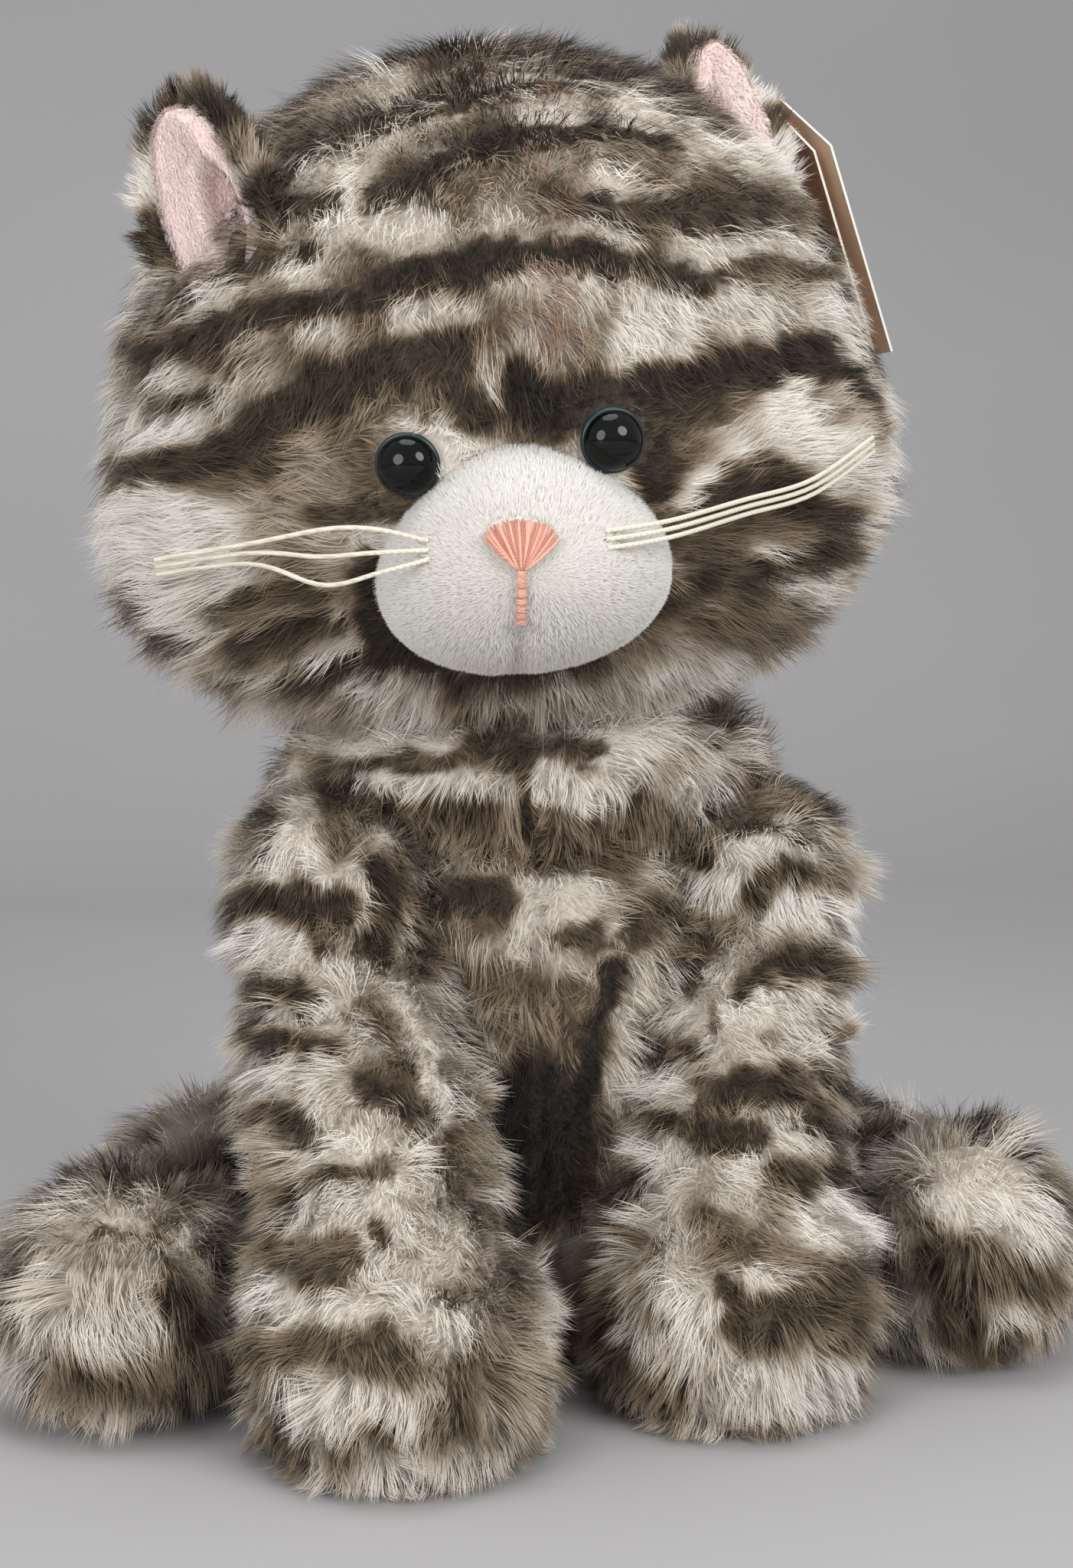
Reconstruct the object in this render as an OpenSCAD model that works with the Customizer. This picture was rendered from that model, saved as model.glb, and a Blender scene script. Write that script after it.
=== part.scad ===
// Seated plush cat: sewn pile-fabric covers over fibre stuffing, plastic safety eyes,
// embroidered nose and mouth, waxed cord whiskers, lined ears and a blank folded hang tag.
// Millimetres. The cat sits on the plane z = 0 and faces -Y. Left and right are as seen from
// the front, so left is the -X side.

/* [Fabric] */
// Thickness of the long-pile fabric, with its pile pressed down
pile_t = 5; // [3:0.5:7]
// Thickness of the short-pile fabric of the muzzle
short_pile_t = 2; // [1:0.25:3]
// Gap between a cover and the stuffing inside it
stuffing_gap = 0.2; // [0.1:0.05:0.5]
// Gap between pieces that move against each other
move_gap = 0.6; // [0.4:0.1:1]
// Gap between pieces that are sewn to one another
sewn_gap = 0.1; // [0.05:0.05:0.3]
// Gap between the floor and the pieces that swing over it
floor_gap = 0.5; // [0.2:0.1:1]

/* [Body] */
// Height of the body, from the floor to the neck
body_h = 136; // [124:1:150]
// Width of the body at half its height
body_w = 126; // [108:1:140]
// Depth of the body at half its height
body_d = 106; // [92:1:120]
// How much wider the seat is than the shoulders, as a share
body_taper = 0.15; // [0.05:0.01:0.25]
// How deep the round bottom is pressed flat where the cat sits
seat_press = 14; // [8:1:22]
// How far the seat's middle lies behind the neck
seat_back = 12; // [4:1:20]

/* [Head] */
// Width of the head across the cheeks
head_w = 164; // [145:1:180]
// Depth of the head, without the muzzle
head_d = 136; // [120:1:150]
// Height of the head
head_h = 143; // [128:1:156]
// How much wider the cheeks are than the crown, as a share
head_taper = 0.15; // [0.05:0.01:0.2]
// How far the head's middle lies in front of the neck
head_forward = 10; // [4:1:16]
// How far the head's underside sinks into the neck
head_sink = 3; // [1:0.5:5]
// How far the head is bowed
head_bow = 14; // [0:1:20]
// How far the head leans to the left
head_lean = 7; // [-9:1:9]
// How far the head is turned to the left
head_turn = 11; // [-12:1:14]

/* [Neck] */
// Radius of the firmly stuffed neck
neck_r = 19; // [15:0.5:22]
// Radius of the thread that is drawn round the neck
neck_thread_r = 0.7; // [0.4:0.1:1]

/* [Muzzle] */
// Width of the muzzle
muzzle_w = 56; // [48:1:62]
// Height of the muzzle
muzzle_h = 44; // [38:1:48]
// How far the muzzle stands out of the face
muzzle_out = 24; // [18:1:30]
// Height of the muzzle's middle, below the head's middle
muzzle_low = 21.5; // [18:0.5:28]
// How much wider the muzzle is at its bottom, as a share
muzzle_taper = 0.2; // [0:0.05:0.3]
// Width of the nose
nose_w = 14; // [10:0.5:18]
// Height of the nose
nose_h = 9; // [7:0.5:12]
// Height of the nose's top edge, above the muzzle's middle
nose_high = 12.5; // [9:0.5:15]
// Width of the mouth's line of stitches
mouth_w = 1.8; // [1.2:0.1:3]
// Length of the mouth's line of stitches
mouth_l = 9; // [6:0.5:11]
// How far the stitches are turned on the muzzle
stitch_turn = 7; // [-10:1:10]
// How far the stitches stand out of the muzzle
stitch_out = 1; // [0.5:0.1:1.5]

/* [Eyes] */
// Diameter of an eye
eye_d = 12; // [9:0.5:15]
// How far an eye stands out
eye_out = 4.5; // [3:0.25:6]
// Distance between the eyes' middles
eye_spacing = 38; // [34:0.5:46]
// Height of the left eye, below the head's middle
left_eye_low = 1; // [-4:0.5:10]
// Height of the right eye, below the head's middle
right_eye_low = 1; // [-4:0.5:10]
// Diameter of an eye's stem
eye_stem_d = 4; // [3:0.25:5]
// Length of an eye's stem behind the face
eye_stem_l = 14; // [12:0.5:18]
// Diameter of the washer that locks an eye's stem
eye_washer_d = 14; // [11:0.5:18]
// Thickness of that washer
eye_washer_t = 2; // [1:0.25:3]
// Radial clearance of a stem in its hole
eye_stem_gap = 0.1; // [0.05:0.05:0.2]

/* [Ears] */
// Width of an ear
ear_w = 36; // [30:1:42]
// Height of an ear above the middle of its seam
ear_h = 22; // [16:1:30]
// Thickness of an ear's pile fabric
ear_t = 4.5; // [3:0.5:6]
// Thickness of an ear's lining
ear_lining_t = 1.5; // [1:0.25:2.5]
// How far the lining's edge lies inside the ear's edge
ear_border = 3; // [2:0.5:5]
// Radius that an ear is cupped to
ear_cup_r = 21; // [18:0.5:28]
// Distance of the left ear's seam from the middle of the head
left_ear_out = 50.5; // [44:0.5:54]
// Distance of the right ear's seam from the middle of the head
right_ear_out = 54; // [48:0.5:57]
// How far the left ear lies in front of the head's middle, as a share of the head's depth
left_ear_forward = 0.1765; // [0.1:0.0025:0.23]
// How far the right ear lies in front of the head's middle, as a share of the head's depth
right_ear_forward = -0.16; // [-0.2:0.0025:0.05]
// How far an ear leans outward
ear_splay = 14; // [0:1:20]
// How far the left ear is turned outward
left_ear_turn = 30; // [15:1:40]
// How far the right ear is turned outward
right_ear_turn = 38; // [25:1:55]
// How far the left ear rests folded back
left_ear_lean = 0; // [0:1:15]
// How far the right ear rests folded back
right_ear_lean = 25; // [10:1:38]
// How far an ear folds forward
ear_fold_forward = 20; // [10:1:30]
// How far an ear folds backward
ear_fold_back = 15; // [10:1:25]

/* [Front legs] */
// Width of a front leg
leg_w = 46; // [40:1:52]
// Width of a front paw
paw_w = 61; // [52:1:66]
// Length of a front paw
paw_l = 66; // [54:1:74]
// Height of a front paw
paw_h = 54; // [44:1:62]
// Height of the shoulders
shoulder_z = 104; // [92:1:112]
// Bearing of the shoulders, from straight ahead
shoulder_bearing = 57; // [48:1:66]
// How far a shoulder's middle lies outside the body
shoulder_out = 2; // [0:1:6]
// How far the left paw reaches in front of its shoulder
left_paw_reach = 48; // [40:1:58]
// How far the right paw reaches in front of its shoulder
right_paw_reach = 34; // [30:1:54]
// How far the left paw lies inside its shoulder
left_paw_in = 5; // [0:1:10]
// How far the right paw lies inside its shoulder
right_paw_in = 15; // [8:1:20]
// How far a front leg swings forward
leg_swing = 45; // [20:1:50]

/* [Hind legs] */
// Radius of a hind leg at the hip
hip_r = 23; // [19:0.5:27]
// Radius of a hind leg at the ankle
ankle_r = 20; // [16:0.5:23]
// Radius of a hind foot
foot_r = 25; // [21:0.5:28]
// Length of a hind leg, from the hip to the middle of the foot
hind_l = 67; // [58:1:74]
// Bearing of the hips, from straight ahead
hip_bearing = 103; // [90:1:112]
// How far a hip's middle lies outside the body
hip_out = 6; // [2:1:9]
// Height of a hip's underside above the floor
hip_rise = 4; // [2:0.5:6]
// Bearing of the left hind leg, from straight ahead
left_hind_bearing = 19; // [15:1:35]
// Bearing of the right hind leg, from straight ahead
right_hind_bearing = 17; // [15:1:35]
// How far a hind leg swings out
hind_out = 24; // [10:1:30]
// How far a hind leg swings in
hind_in = 1.5; // [0:0.5:2]

/* [Tail] */
// Radius of the tail
tail_r = 14; // [11:0.5:17]
// Radius that the tail curls to
tail_curl_r = 70; // [55:1:90]
// How much of a turn the tail makes
tail_curl = 95; // [60:1:110]
// How far the tail's middle lies outside the body where it is sewn on
tail_out = 5; // [2:0.5:7]
// Height of the tail's underside where it is sewn on
tail_rise = 8; // [4:0.5:12]
// How far the tail swings to either side
tail_swing = 25; // [10:1:30]

/* [Filling] */
// Radius of the pouch of pellets in the seat
pouch_r = 21; // [15:0.5:24]
// Height of the pouch
pouch_h = 20; // [14:0.5:24]
// Thickness of the pouch's cloth
pouch_t = 0.8; // [0.5:0.1:1.2]
// Radius of the pouch's drawn neck
pouch_neck_r = 3; // [2:0.5:5]
// Number of stitches that close the back
back_stitches = 7; // [4:1:10]
// Distance between those stitches
back_stitch_pitch = 8; // [6:0.5:9]
// Length of one of those stitches
back_stitch_l = 6; // [4:0.5:8]
// Radius of their thread
back_thread_r = 0.5; // [0.3:0.1:0.8]

/* [Hang tag] */
// Width of the tag, folded
tag_w = 42; // [34:1:50]
// Length of the tag
tag_l = 60; // [52:1:66]
// Thickness of the tag's card
tag_t = 0.6; // [0.4:0.1:1]
// Length of the cut at the tag's upper corners
tag_corner = 13; // [8:0.5:15]
// Distance from the tag's upper edge to its hole
tag_hole_low = 9; // [7:0.5:12]
// How far the tag's two leaves stand open
tag_open = 5; // [4:1:12]
// How much further the outer leaf opens
tag_leaf_swing = 50; // [20:1:70]
// Radius of the plastic fastener
fastener_r = 0.9; // [0.6:0.1:1.2]
// Radial clearance of the fastener in the tag
fastener_gap = 0.4; // [0.3:0.05:0.6]
// How far the tag swings to either side on its fastener
tag_swing = 6; // [3:1:8]
// How far the tag hangs from the seam that its fastener is shot through
tag_out = 22; // [20:0.5:27]

/* [Whiskers] */
// Diameter of a whisker cord
whisker_d = 0.9; // [0.7:0.05:1.2]

/* [Hidden] */

$fn = 48;
left = -1;
right = 1;

// Colours of the fabric, card, cord and plastic
fur_colour = [0.66, 0.61, 0.55];
dark_fur_colour = [0.44, 0.38, 0.32];
white_plush_colour = [0.94, 0.92, 0.89];
pink_colour = [0.92, 0.75, 0.73];
salmon_colour = [0.89, 0.56, 0.49];
fibre_colour = [0.97, 0.97, 0.96];
cord_colour = [0.93, 0.89, 0.80];
kraft_colour = [0.66, 0.46, 0.31];
cream_colour = [0.91, 0.82, 0.66];

// Depth from a cover's face to the stuffing
stuffing_in = pile_t + stuffing_gap;

// Rings in each form and sides in each ring
form_rings = 9;
form_sides = 16;
leg_sides = 14;
full = 2.4;
body_full = 3;

function mix(a, b, t) = a + (b - a) * t;
function ease(t) = let (c = min(1, max(0, t))) c * c * (3 - 2 * c);
function unit(v) = v / norm(v);
function rx(p, a) = [p.x, p.y * cos(a) - p.z * sin(a), p.y * sin(a) + p.z * cos(a)];
function ry(p, a) = [p.x * cos(a) + p.z * sin(a), p.y, p.z * cos(a) - p.x * sin(a)];
function rz(p, a) = [p.x * cos(a) - p.y * sin(a), p.x * sin(a) + p.y * cos(a), p.z];

// A swelling that tapers towards u = 1, over u = -1 to 1
function egg(u, taper, f = full) = sqrt(max(0, 1 - pow(abs(u), f))) * (1 - taper * u);

// A level oval ring round the point c
function oval(c, rx, ry, sides) =
    [for (j = [0:sides - 1]) let (a = 360 * j / sides) [c.x + rx * cos(a), c.y + ry * sin(a), c.z]];

// A round ring of radius r across the direction t
function hoop(c, t, r, sides) =
    let (s = unit(cross([0, 0, 1], t)), v = cross(t, s))
    [for (j = [0:sides - 1]) let (a = 360 * j / sides) c + r * (cos(a) * s + sin(a) * v)];

// A closed skin over rings that all have the same number of points
module skin(rings) {
    n = len(rings[0]);
    m = len(rings);
    sides = [for (i = [0:m - 2], j = [0:n - 1])
        let (a = i * n + j, b = i * n + (j + 1) % n)
        each [[a, a + n, b + n], [a, b + n, b]]];
    bottom = [for (j = [1:n - 2]) [0, j, j + 1]];
    top = [for (j = [1:n - 2]) [0, j + 1, j] + (m - 1) * n * [1, 1, 1]];
    polyhedron([for (r = rings) each r], concat(sides, bottom, top), convexity = 6);
}

// Body form, grown by g on every side
body_mid = (body_h - seat_press) / 2;
body_half = (body_h + seat_press) / 2;
body_top_share = 0.985;
function body_share(z, g) = egg((z - body_mid) / (body_half + g), body_taper, body_full);
function body_y(z) = seat_back * (1 - z / body_h);
module body_form(g) {
    low = -g;
    high = body_mid + (body_half + g) * body_top_share;
    skin([for (i = [0:form_rings - 1])
        let (z = mix(low, high, sin(90 * i / (form_rings - 1))), s = body_share(z, g))
        oval([0, body_y(z), z], (body_w / 2 + g) * s, (body_d / 2 + g) * s, form_sides)]);
}

// The point at height z and a bearing from straight ahead, a distance out from the body
function body_point(z, bearing, out) =
    let (s = body_share(z, 0), x = body_w / 2 * s * sin(bearing), y = -body_d / 2 * s * cos(bearing))
    [x, y + body_y(z), z] + out * unit([x / body_w ^ 2, y / body_d ^ 2, 0]);

// Neck pivot and head frame
neck_rise = 2;
neck = [0, 0, body_h + neck_rise];
neck_ball_r = neck_r + 2 * neck_thread_r + sewn_gap;
neck_socket_r = neck_ball_r + move_gap;
head_up = head_h / 2 - head_sink;
head_middle = neck + [-head_up * sin(head_lean), -head_forward, head_up * cos(head_lean)];
function turned_head(p) = rz(ry(rx(p, head_bow), -head_lean), -head_turn);
function on_head(p) = head_middle + turned_head(p);
module in_head() {
    translate(head_middle) rotate([head_bow, -head_lean, -head_turn]) children();
}

// Head form in its own frame, grown by g on every side
function head_share(z, g) = egg(z / (head_h / 2 + g), head_taper);
function head_front(x, z, g = 0) =
    let (s = head_share(z, g), w = head_w / 2 + g, d = head_d / 2 + g)
    -d * sqrt(max(0, s * s - (x / w) ^ 2));
function head_normal(x, y, z) = unit([x / head_w ^ 2, y / head_d ^ 2, z / head_h ^ 2]);
module head_form(g) {
    skin([for (i = [0:form_rings])
        let (u = -cos(8 + 164 * i / form_rings), z = u * (head_h / 2 + g), s = head_share(z, g))
        oval([0, 0, z], (head_w / 2 + g) * s, (head_d / 2 + g) * s, form_sides)]);
}

// Muzzle form in the head's frame: rings across -Y, wider below, grown by g on every side
muzzle_rings = 7;
muzzle_sides = 18;
muzzle_sink = 10;
muzzle_full = 2.6;
muzzle_back = head_front(0, -muzzle_low) + muzzle_sink;
muzzle_deep = muzzle_out + muzzle_sink;
function muzzle_share(v) = pow(max(0, 1 - pow(v, muzzle_full)), 0.5);
function muzzle_ring(v, g) =
    let (s = muzzle_share(v), y = muzzle_back - v * (muzzle_deep + g))
    [for (j = [0:muzzle_sides - 1])
        let (a = 360 * j / muzzle_sides)
        [(muzzle_w / 2 + g) * s * cos(a) * (1 - muzzle_taper * sin(a)), y,
            -muzzle_low + (muzzle_h / 2 + g) * s * sin(a)]];
module muzzle_form(g) {
    skin([for (i = [0:muzzle_rings]) muzzle_ring(sin(82 * i / muzzle_rings), g)]);
}

// The point on the muzzle at x across and z up from the muzzle's middle, a depth under its surface
function muzzle_spread(x, q, s, n) =
    n == 0 ? s : muzzle_spread(x, q, norm([2 * x / muzzle_w / (1 - muzzle_taper * q / s), q]), n - 1);
function muzzle_point(x, z, deep) =
    let (s = muzzle_spread(x, 2 * z / muzzle_h, 1, 4))
    [x, muzzle_back - pow(max(0, 1 - s * s), 1 / muzzle_full) * muzzle_deep + deep, z - muzzle_low];

// Eyes: a middle on the face and the direction that each looks in
function eye_at(side) =
    let (x = side * eye_spacing / 2, z = side == left ? -left_eye_low : -right_eye_low)
    [x, head_front(x, z), z];
function eye_axis(side) = let (p = eye_at(side)) head_normal(p.x, p.y, p.z);
eye_seat = 1.2;
eye_pocket = 2;
washer_gap = 3.2;
eye_washer_in = pile_t + washer_gap;

// Turns +Z to the direction v
module face_along(v) {
    rotate([0, acos(v.z / norm(v)), atan2(v.y, v.x)]) children();
}
module at_eye(side) {
    in_head() translate(eye_at(side)) face_along(eye_axis(side)) children();
}

// Ears: each stands on a seam on the head, cupped forward
function ear_at(side) =
    let (x = side == left ? -left_ear_out : right_ear_out,
        y = -head_d * (side == left ? left_ear_forward : right_ear_forward))
    [x, y, ear_top(x, y)];
function ear_top(x, y) =
    let (q = pow(2 * x / head_w, 2) + pow(2 * y / head_d, 2))
    head_h / 2 * pow(max(0, 1 - q / (1 - head_taper * 0.6) ^ 2), 1 / full);
function ear_turn(side) = side == left ? -left_ear_turn : right_ear_turn;
function ear_lean(side) = -(side == left ? left_ear_lean : right_ear_lean);
function ear_turned(p, side) = rz(ry(p, side * ear_splay), ear_turn(side));
function ear_pivot(side) = on_head(ear_at(side));
function ear_hinge(side) = turned_head(ear_turned([1, 0, 0], side));
module at_ear(side) {
    in_head() translate(ear_at(side)) rotate([ear_lean(side), side * ear_splay, ear_turn(side)])
        children();
}

// An ear's outline, drawn inside its edge by a border
ear_tip_r = ear_w * 0.38;
ear_root = 20;
module ear_outline(border) {
    hull() {
        translate([0, ear_h - ear_tip_r]) circle(ear_tip_r - border, $fn = 28);
        translate([0, ear_h - ear_tip_r - ear_w * 0.3]) circle(ear_w / 2 - border, $fn = 28);
        translate([-ear_w * 0.4, -ear_root]) square([ear_w * 0.8, 1]);
    }
}
module ear_layer(outer_r, inner_r, border) {
    intersection() {
        rotate([90, 0, 0]) linear_extrude(2 * ear_cup_r, center = true) ear_outline(border);
        translate([0, -ear_cup_r, -ear_root - 1]) difference() {
            cylinder(r = outer_r, h = ear_h + ear_root + 2);
            translate([0, 0, -1]) cylinder(r = inner_r, h = ear_h + ear_root + 4);
            translate([-ear_w, -2 * ear_cup_r, -1])
                cube([2 * ear_w, 1.45 * ear_cup_r, ear_h + ear_root + 4]);
        }
    }
}

// Room that the head needs under an ear over all of its fold
ear_turns = [-ear_fold_back, (ear_fold_forward - ear_fold_back) / 2, ear_fold_forward];
module head_under_ear(side, g) {
    for (a = ear_turns)
        translate(ear_pivot(side)) rotate(a = -a, v = ear_hinge(side))
            translate(-ear_pivot(side)) in_head() head_form(g);
}

// Front legs: a shoulder ball, a column and a paw that stands flat
shoulder_r = leg_w / 2;
function shoulder(side) =
    let (p = body_point(shoulder_z, shoulder_bearing, shoulder_out)) [side * p.x, p.y, p.z];
function paw_reach(side) = side == left ? left_paw_reach : right_paw_reach;
function paw_in(side) = side == left ? left_paw_in : right_paw_in;
function paw_at(side) = let (s = shoulder(side)) [s.x - side * paw_in(side), s.y - paw_reach(side), 0];

// Rows of: share of the paw's height, share of the way to the shoulder, share of the paw's size
paw_rows = [[0, 0, 0.78], [0.12, 0, 0.93], [0.34, 0, 1], [0.62, 0.06, 0.94], [0.88, 0.2, 0.78]];
function leg_ring(side, z, k, half_w, half_l) =
    let (c = mix(paw_at(side), [shoulder(side).x, shoulder(side).y, 0], k))
    oval([c.x, c.y, z], half_w, half_l, leg_sides);
function leg_form_rings(side, g) =
    let (top = shoulder_z, r = shoulder_r + g, ankle = 1.14 * paw_h)
    concat(
        [for (row = paw_rows)
            leg_ring(side, max(-g, row[0] * paw_h), row[1],
                paw_w / 2 * row[2] + g, paw_l / 2 * row[2] + g)],
        [for (t = [0:0.5:1])
            leg_ring(side, mix(ankle, top - r * 0.3, t), mix(0.36, 0.96, t), r * mix(1, 0.97, t), r)],
        [for (a = [5, 30, 52, 70, 82]) leg_ring(side, top + r * sin(a), 1, r * cos(a), r * cos(a))]);
module leg_form(side, g) {
    skin(leg_form_rings(side, g));
}
module body_beside_leg(side) {
    difference() {
        body_form(move_gap);
        translate(shoulder(side)) sphere(shoulder_r + move_gap / 2);
    }
}

// Hind legs: a hip ball, a column and a round foot, lying on the floor
function hip(side) = let (p = body_point(hip_r + hip_rise, hip_bearing, hip_out)) [side * p.x, p.y, p.z];
function hind_bearing(side) = side == left ? left_hind_bearing : right_hind_bearing;
function hind_way(side) = [side * sin(hind_bearing(side)), -cos(hind_bearing(side)), 0];
foot_z = foot_r + floor_gap;
function hind_ring(side, s, r, k) =
    hoop(hip(side) + s * hind_way(side) + [0, 0, k * (foot_z - hip_r - hip_rise)], hind_way(side), r, leg_sides);
module hind_leg_form(side, g) {
    skin(concat(
        [for (a = [80, 58, 34, 10])
            hind_ring(side, -(hip_r + g) * sin(a), (hip_r + g) * cos(a), 0)],
        [hind_ring(side, hind_l * 0.42, ankle_r + g, 0.6)],
        [for (a = [-38, -14, 12, 38, 60, 78])
            hind_ring(side, hind_l + (foot_r + g) * sin(a), (foot_r + g) * cos(a), 1)]));
}

// Room that the body needs beside a hind leg over all of its swing
hind_turns = [-hind_in, hind_out / 2, hind_out];
module body_beside_hind_leg(side) {
    difference() {
        union() for (a = hind_turns)
            translate(hip(side)) rotate([0, 0, -side * a]) translate(-hip(side)) body_form(move_gap);
        translate(hip(side)) sphere(hip_r + move_gap / 2);
    }
}

// Tail: a ball sewn to the body and a tube that curls along the floor
tail_root = let (p = body_point(tail_r + tail_rise, 180, tail_out)) [0, p.y, p.z];
tail_z = tail_r + floor_gap;
function tail_ring(a, r) =
    let (c = tail_root + tail_curl_r * [1 - cos(a), sin(a), 0])
    hoop([c.x, c.y, mix(tail_root.z, tail_z, ease(a / 50))], [sin(a), cos(a), 0], r, leg_sides);
module tail_form(g) {
    r = tail_r + g;
    curl = tail_curl;
    skin(concat(
        [for (a = [80, 55, 28])
            hoop(tail_root - [0, r * sin(a), 0], [0, 1, 0], r * cos(a), leg_sides)],
        [for (t = [0.02, 0.2, 0.4, 0.6, 0.8, 1]) tail_ring(curl * t, r)],
        [for (a = [35, 62, 80])
            let (c = tail_root + tail_curl_r * [1 - cos(curl), sin(curl), 0])
            hoop([c.x, c.y, tail_z] + r * sin(a) * [sin(curl), cos(curl), 0],
                [sin(curl), cos(curl), 0], r * cos(a), leg_sides)]));
}

// Sockets that the body keeps free for the balls that turn in it
module body_sockets() {
    translate(neck) sphere(neck_socket_r);
    for (side = [left, right]) {
        translate(shoulder(side)) sphere(shoulder_r + move_gap);
        translate(hip(side)) sphere(hip_r + move_gap);
    }
    translate(tail_root) sphere(tail_r + move_gap);
}

module body_cover() {
    color(fur_colour) difference() {
        body_form(0);
        body_form(-pile_t);
        body_sockets();
    }
}
module body_stuffing() {
    color(fibre_colour) difference() {
        body_form(-stuffing_in);
        body_sockets();
        translate(pouch_at + [0, 0, -stuffing_gap]) pouch_shape(stuffing_gap);
    }
}

// The pouch of pellets stands on the seat's inner side
pouch_at = [0, body_y(0), stuffing_in + 2 * stuffing_gap];
module pouch_shape(g) {
    rotate_extrude() intersection() {
        translate([0, -g]) square([pouch_r + g, pouch_h + 2 * g]);
        translate([pouch_r - pouch_h / 2, pouch_h / 2]) union() {
            circle(pouch_h / 2 + g);
            translate([-pouch_r, -pouch_h / 2 - g]) square([pouch_r, pouch_h + 2 * g]);
        }
    }
}
module pellet_pouch() {
    color(white_plush_colour) translate(pouch_at) difference() {
        pouch_shape(0);
        translate([0, 0, pouch_t]) pellet_shape(0);
        translate([0, 0, pouch_h / 2]) cylinder(r = pouch_neck_r, h = pouch_h);
    }
}
module pellet_shape(g) {
    rotate_extrude() intersection() {
        translate([0, g]) square([pouch_r, pouch_h - 2 * pouch_t - 2 * g]);
        translate([pouch_r - pouch_h / 2, pouch_h / 2 - pouch_t]) union() {
            circle(pouch_h / 2 - pouch_t - g);
            translate([-pouch_r, -pouch_h]) square([pouch_r, 2 * pouch_h]);
        }
    }
}
module pellets() {
    color(cream_colour) translate(pouch_at + [0, 0, pouch_t]) pellet_shape(stuffing_gap);
}

// Stitches across the seam that closes the back
back_stitch_z = body_h * 0.54;
module back_stitches() {
    color(dark_fur_colour) for (i = [0:back_stitches - 1]) {
        z = back_stitch_z + (i - (back_stitches - 1) / 2) * back_stitch_pitch;
        translate(body_point(z, 180, back_thread_r + sewn_gap))
            rotate([0, 90, 0]) cylinder(r = back_thread_r, h = back_stitch_l, center = true, $fn = 16);
    }
}

module neck_stuffing() {
    color(fibre_colour) translate(neck) sphere(neck_r);
}
module neck_thread() {
    color(cord_colour) translate(neck) rotate_extrude()
        translate([neck_r + neck_thread_r + sewn_gap / 2, 0]) circle(neck_thread_r, $fn = 20);
}

module head_cover() {
    color(fur_colour) difference() {
        in_head() difference() {
            head_form(0);
            head_form(-pile_t);
        }
        translate(neck) sphere(neck_socket_r);
        for (side = [left, right])
            at_eye(side) cylinder(d = eye_stem_d + 2 * eye_stem_gap, h = 3 * eye_stem_l, center = true);
        at_tag() fastener_hole(eye_stem_gap);
    }
}
module head_stuffing() {
    color(fibre_colour) difference() {
        in_head() head_form(-stuffing_in);
        translate(neck) sphere(neck_socket_r);
        for (side = [left, right])
            at_eye(side) translate([0, 0, -eye_stem_l - eye_pocket])
                cylinder(d = eye_washer_d + eye_pocket, h = eye_stem_l + 2 * eye_pocket);
    }
}

module muzzle_cover() {
    color(white_plush_colour) in_head() difference() {
        muzzle_form(0);
        muzzle_form(-short_pile_t);
        head_form(sewn_gap);
    }
}
module muzzle_stuffing() {
    color(fibre_colour) in_head() difference() {
        muzzle_form(-short_pile_t - stuffing_gap);
        head_form(sewn_gap);
    }
}

// A domed eye with its stem, seated on the face
module eye(side) {
    color([0.03, 0.05, 0.05]) at_eye(side) {
        translate([0, 0, eye_seat]) intersection() {
            translate([0, 0, eye_out - eye_dome_r]) sphere(eye_dome_r);
            cylinder(d = eye_d, h = eye_out);
        }
        translate([0, 0, -eye_stem_l]) cylinder(d = eye_stem_d, h = eye_stem_l + eye_seat + 1);
    }
}
eye_dome_r = (pow(eye_d / 2, 2) + pow(eye_out, 2)) / (2 * eye_out) * 0.98;
module eye_washer(side) {
    color([0.85, 0.85, 0.83]) at_eye(side) translate([0, 0, -eye_washer_in - eye_washer_t])
        difference() {
            cylinder(d = eye_washer_d, h = eye_washer_t);
            translate([0, 0, -1]) cylinder(d = eye_stem_d + 2 * eye_stem_gap, h = eye_washer_t + 2);
        }
}
module left_eye() eye(left);
module right_eye() eye(right);
module left_eye_washer() eye_washer(left);
module right_eye_washer() eye_washer(right);

// A layer of stitches on the muzzle, inside an outline seen from the front
module on_muzzle() {
    in_head() difference() {
        intersection() {
            muzzle_form(stitch_out);
            translate([0, muzzle_back - muzzle_deep / 2, nose_high - muzzle_low])
                rotate([90, 0, 0]) linear_extrude(muzzle_deep) rotate(-stitch_turn) children();
        }
        muzzle_form(sewn_gap);
    }
}
nose_corner = 1.6;
module nose_embroidery() {
    color(salmon_colour) on_muzzle() hull() {
        for (s = [left, right])
            translate([s * (nose_w / 2 - nose_corner), -nose_corner]) circle(nose_corner, $fn = 20);
        translate([0, mouth_w / 2 - nose_h]) circle(mouth_w / 2, $fn = 20);
    }
}
module mouth_stitches() {
    color(salmon_colour) on_muzzle()
        translate([-mouth_w / 2, -nose_h - mouth_l - sewn_gap]) square([mouth_w, mouth_l]);
}

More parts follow.
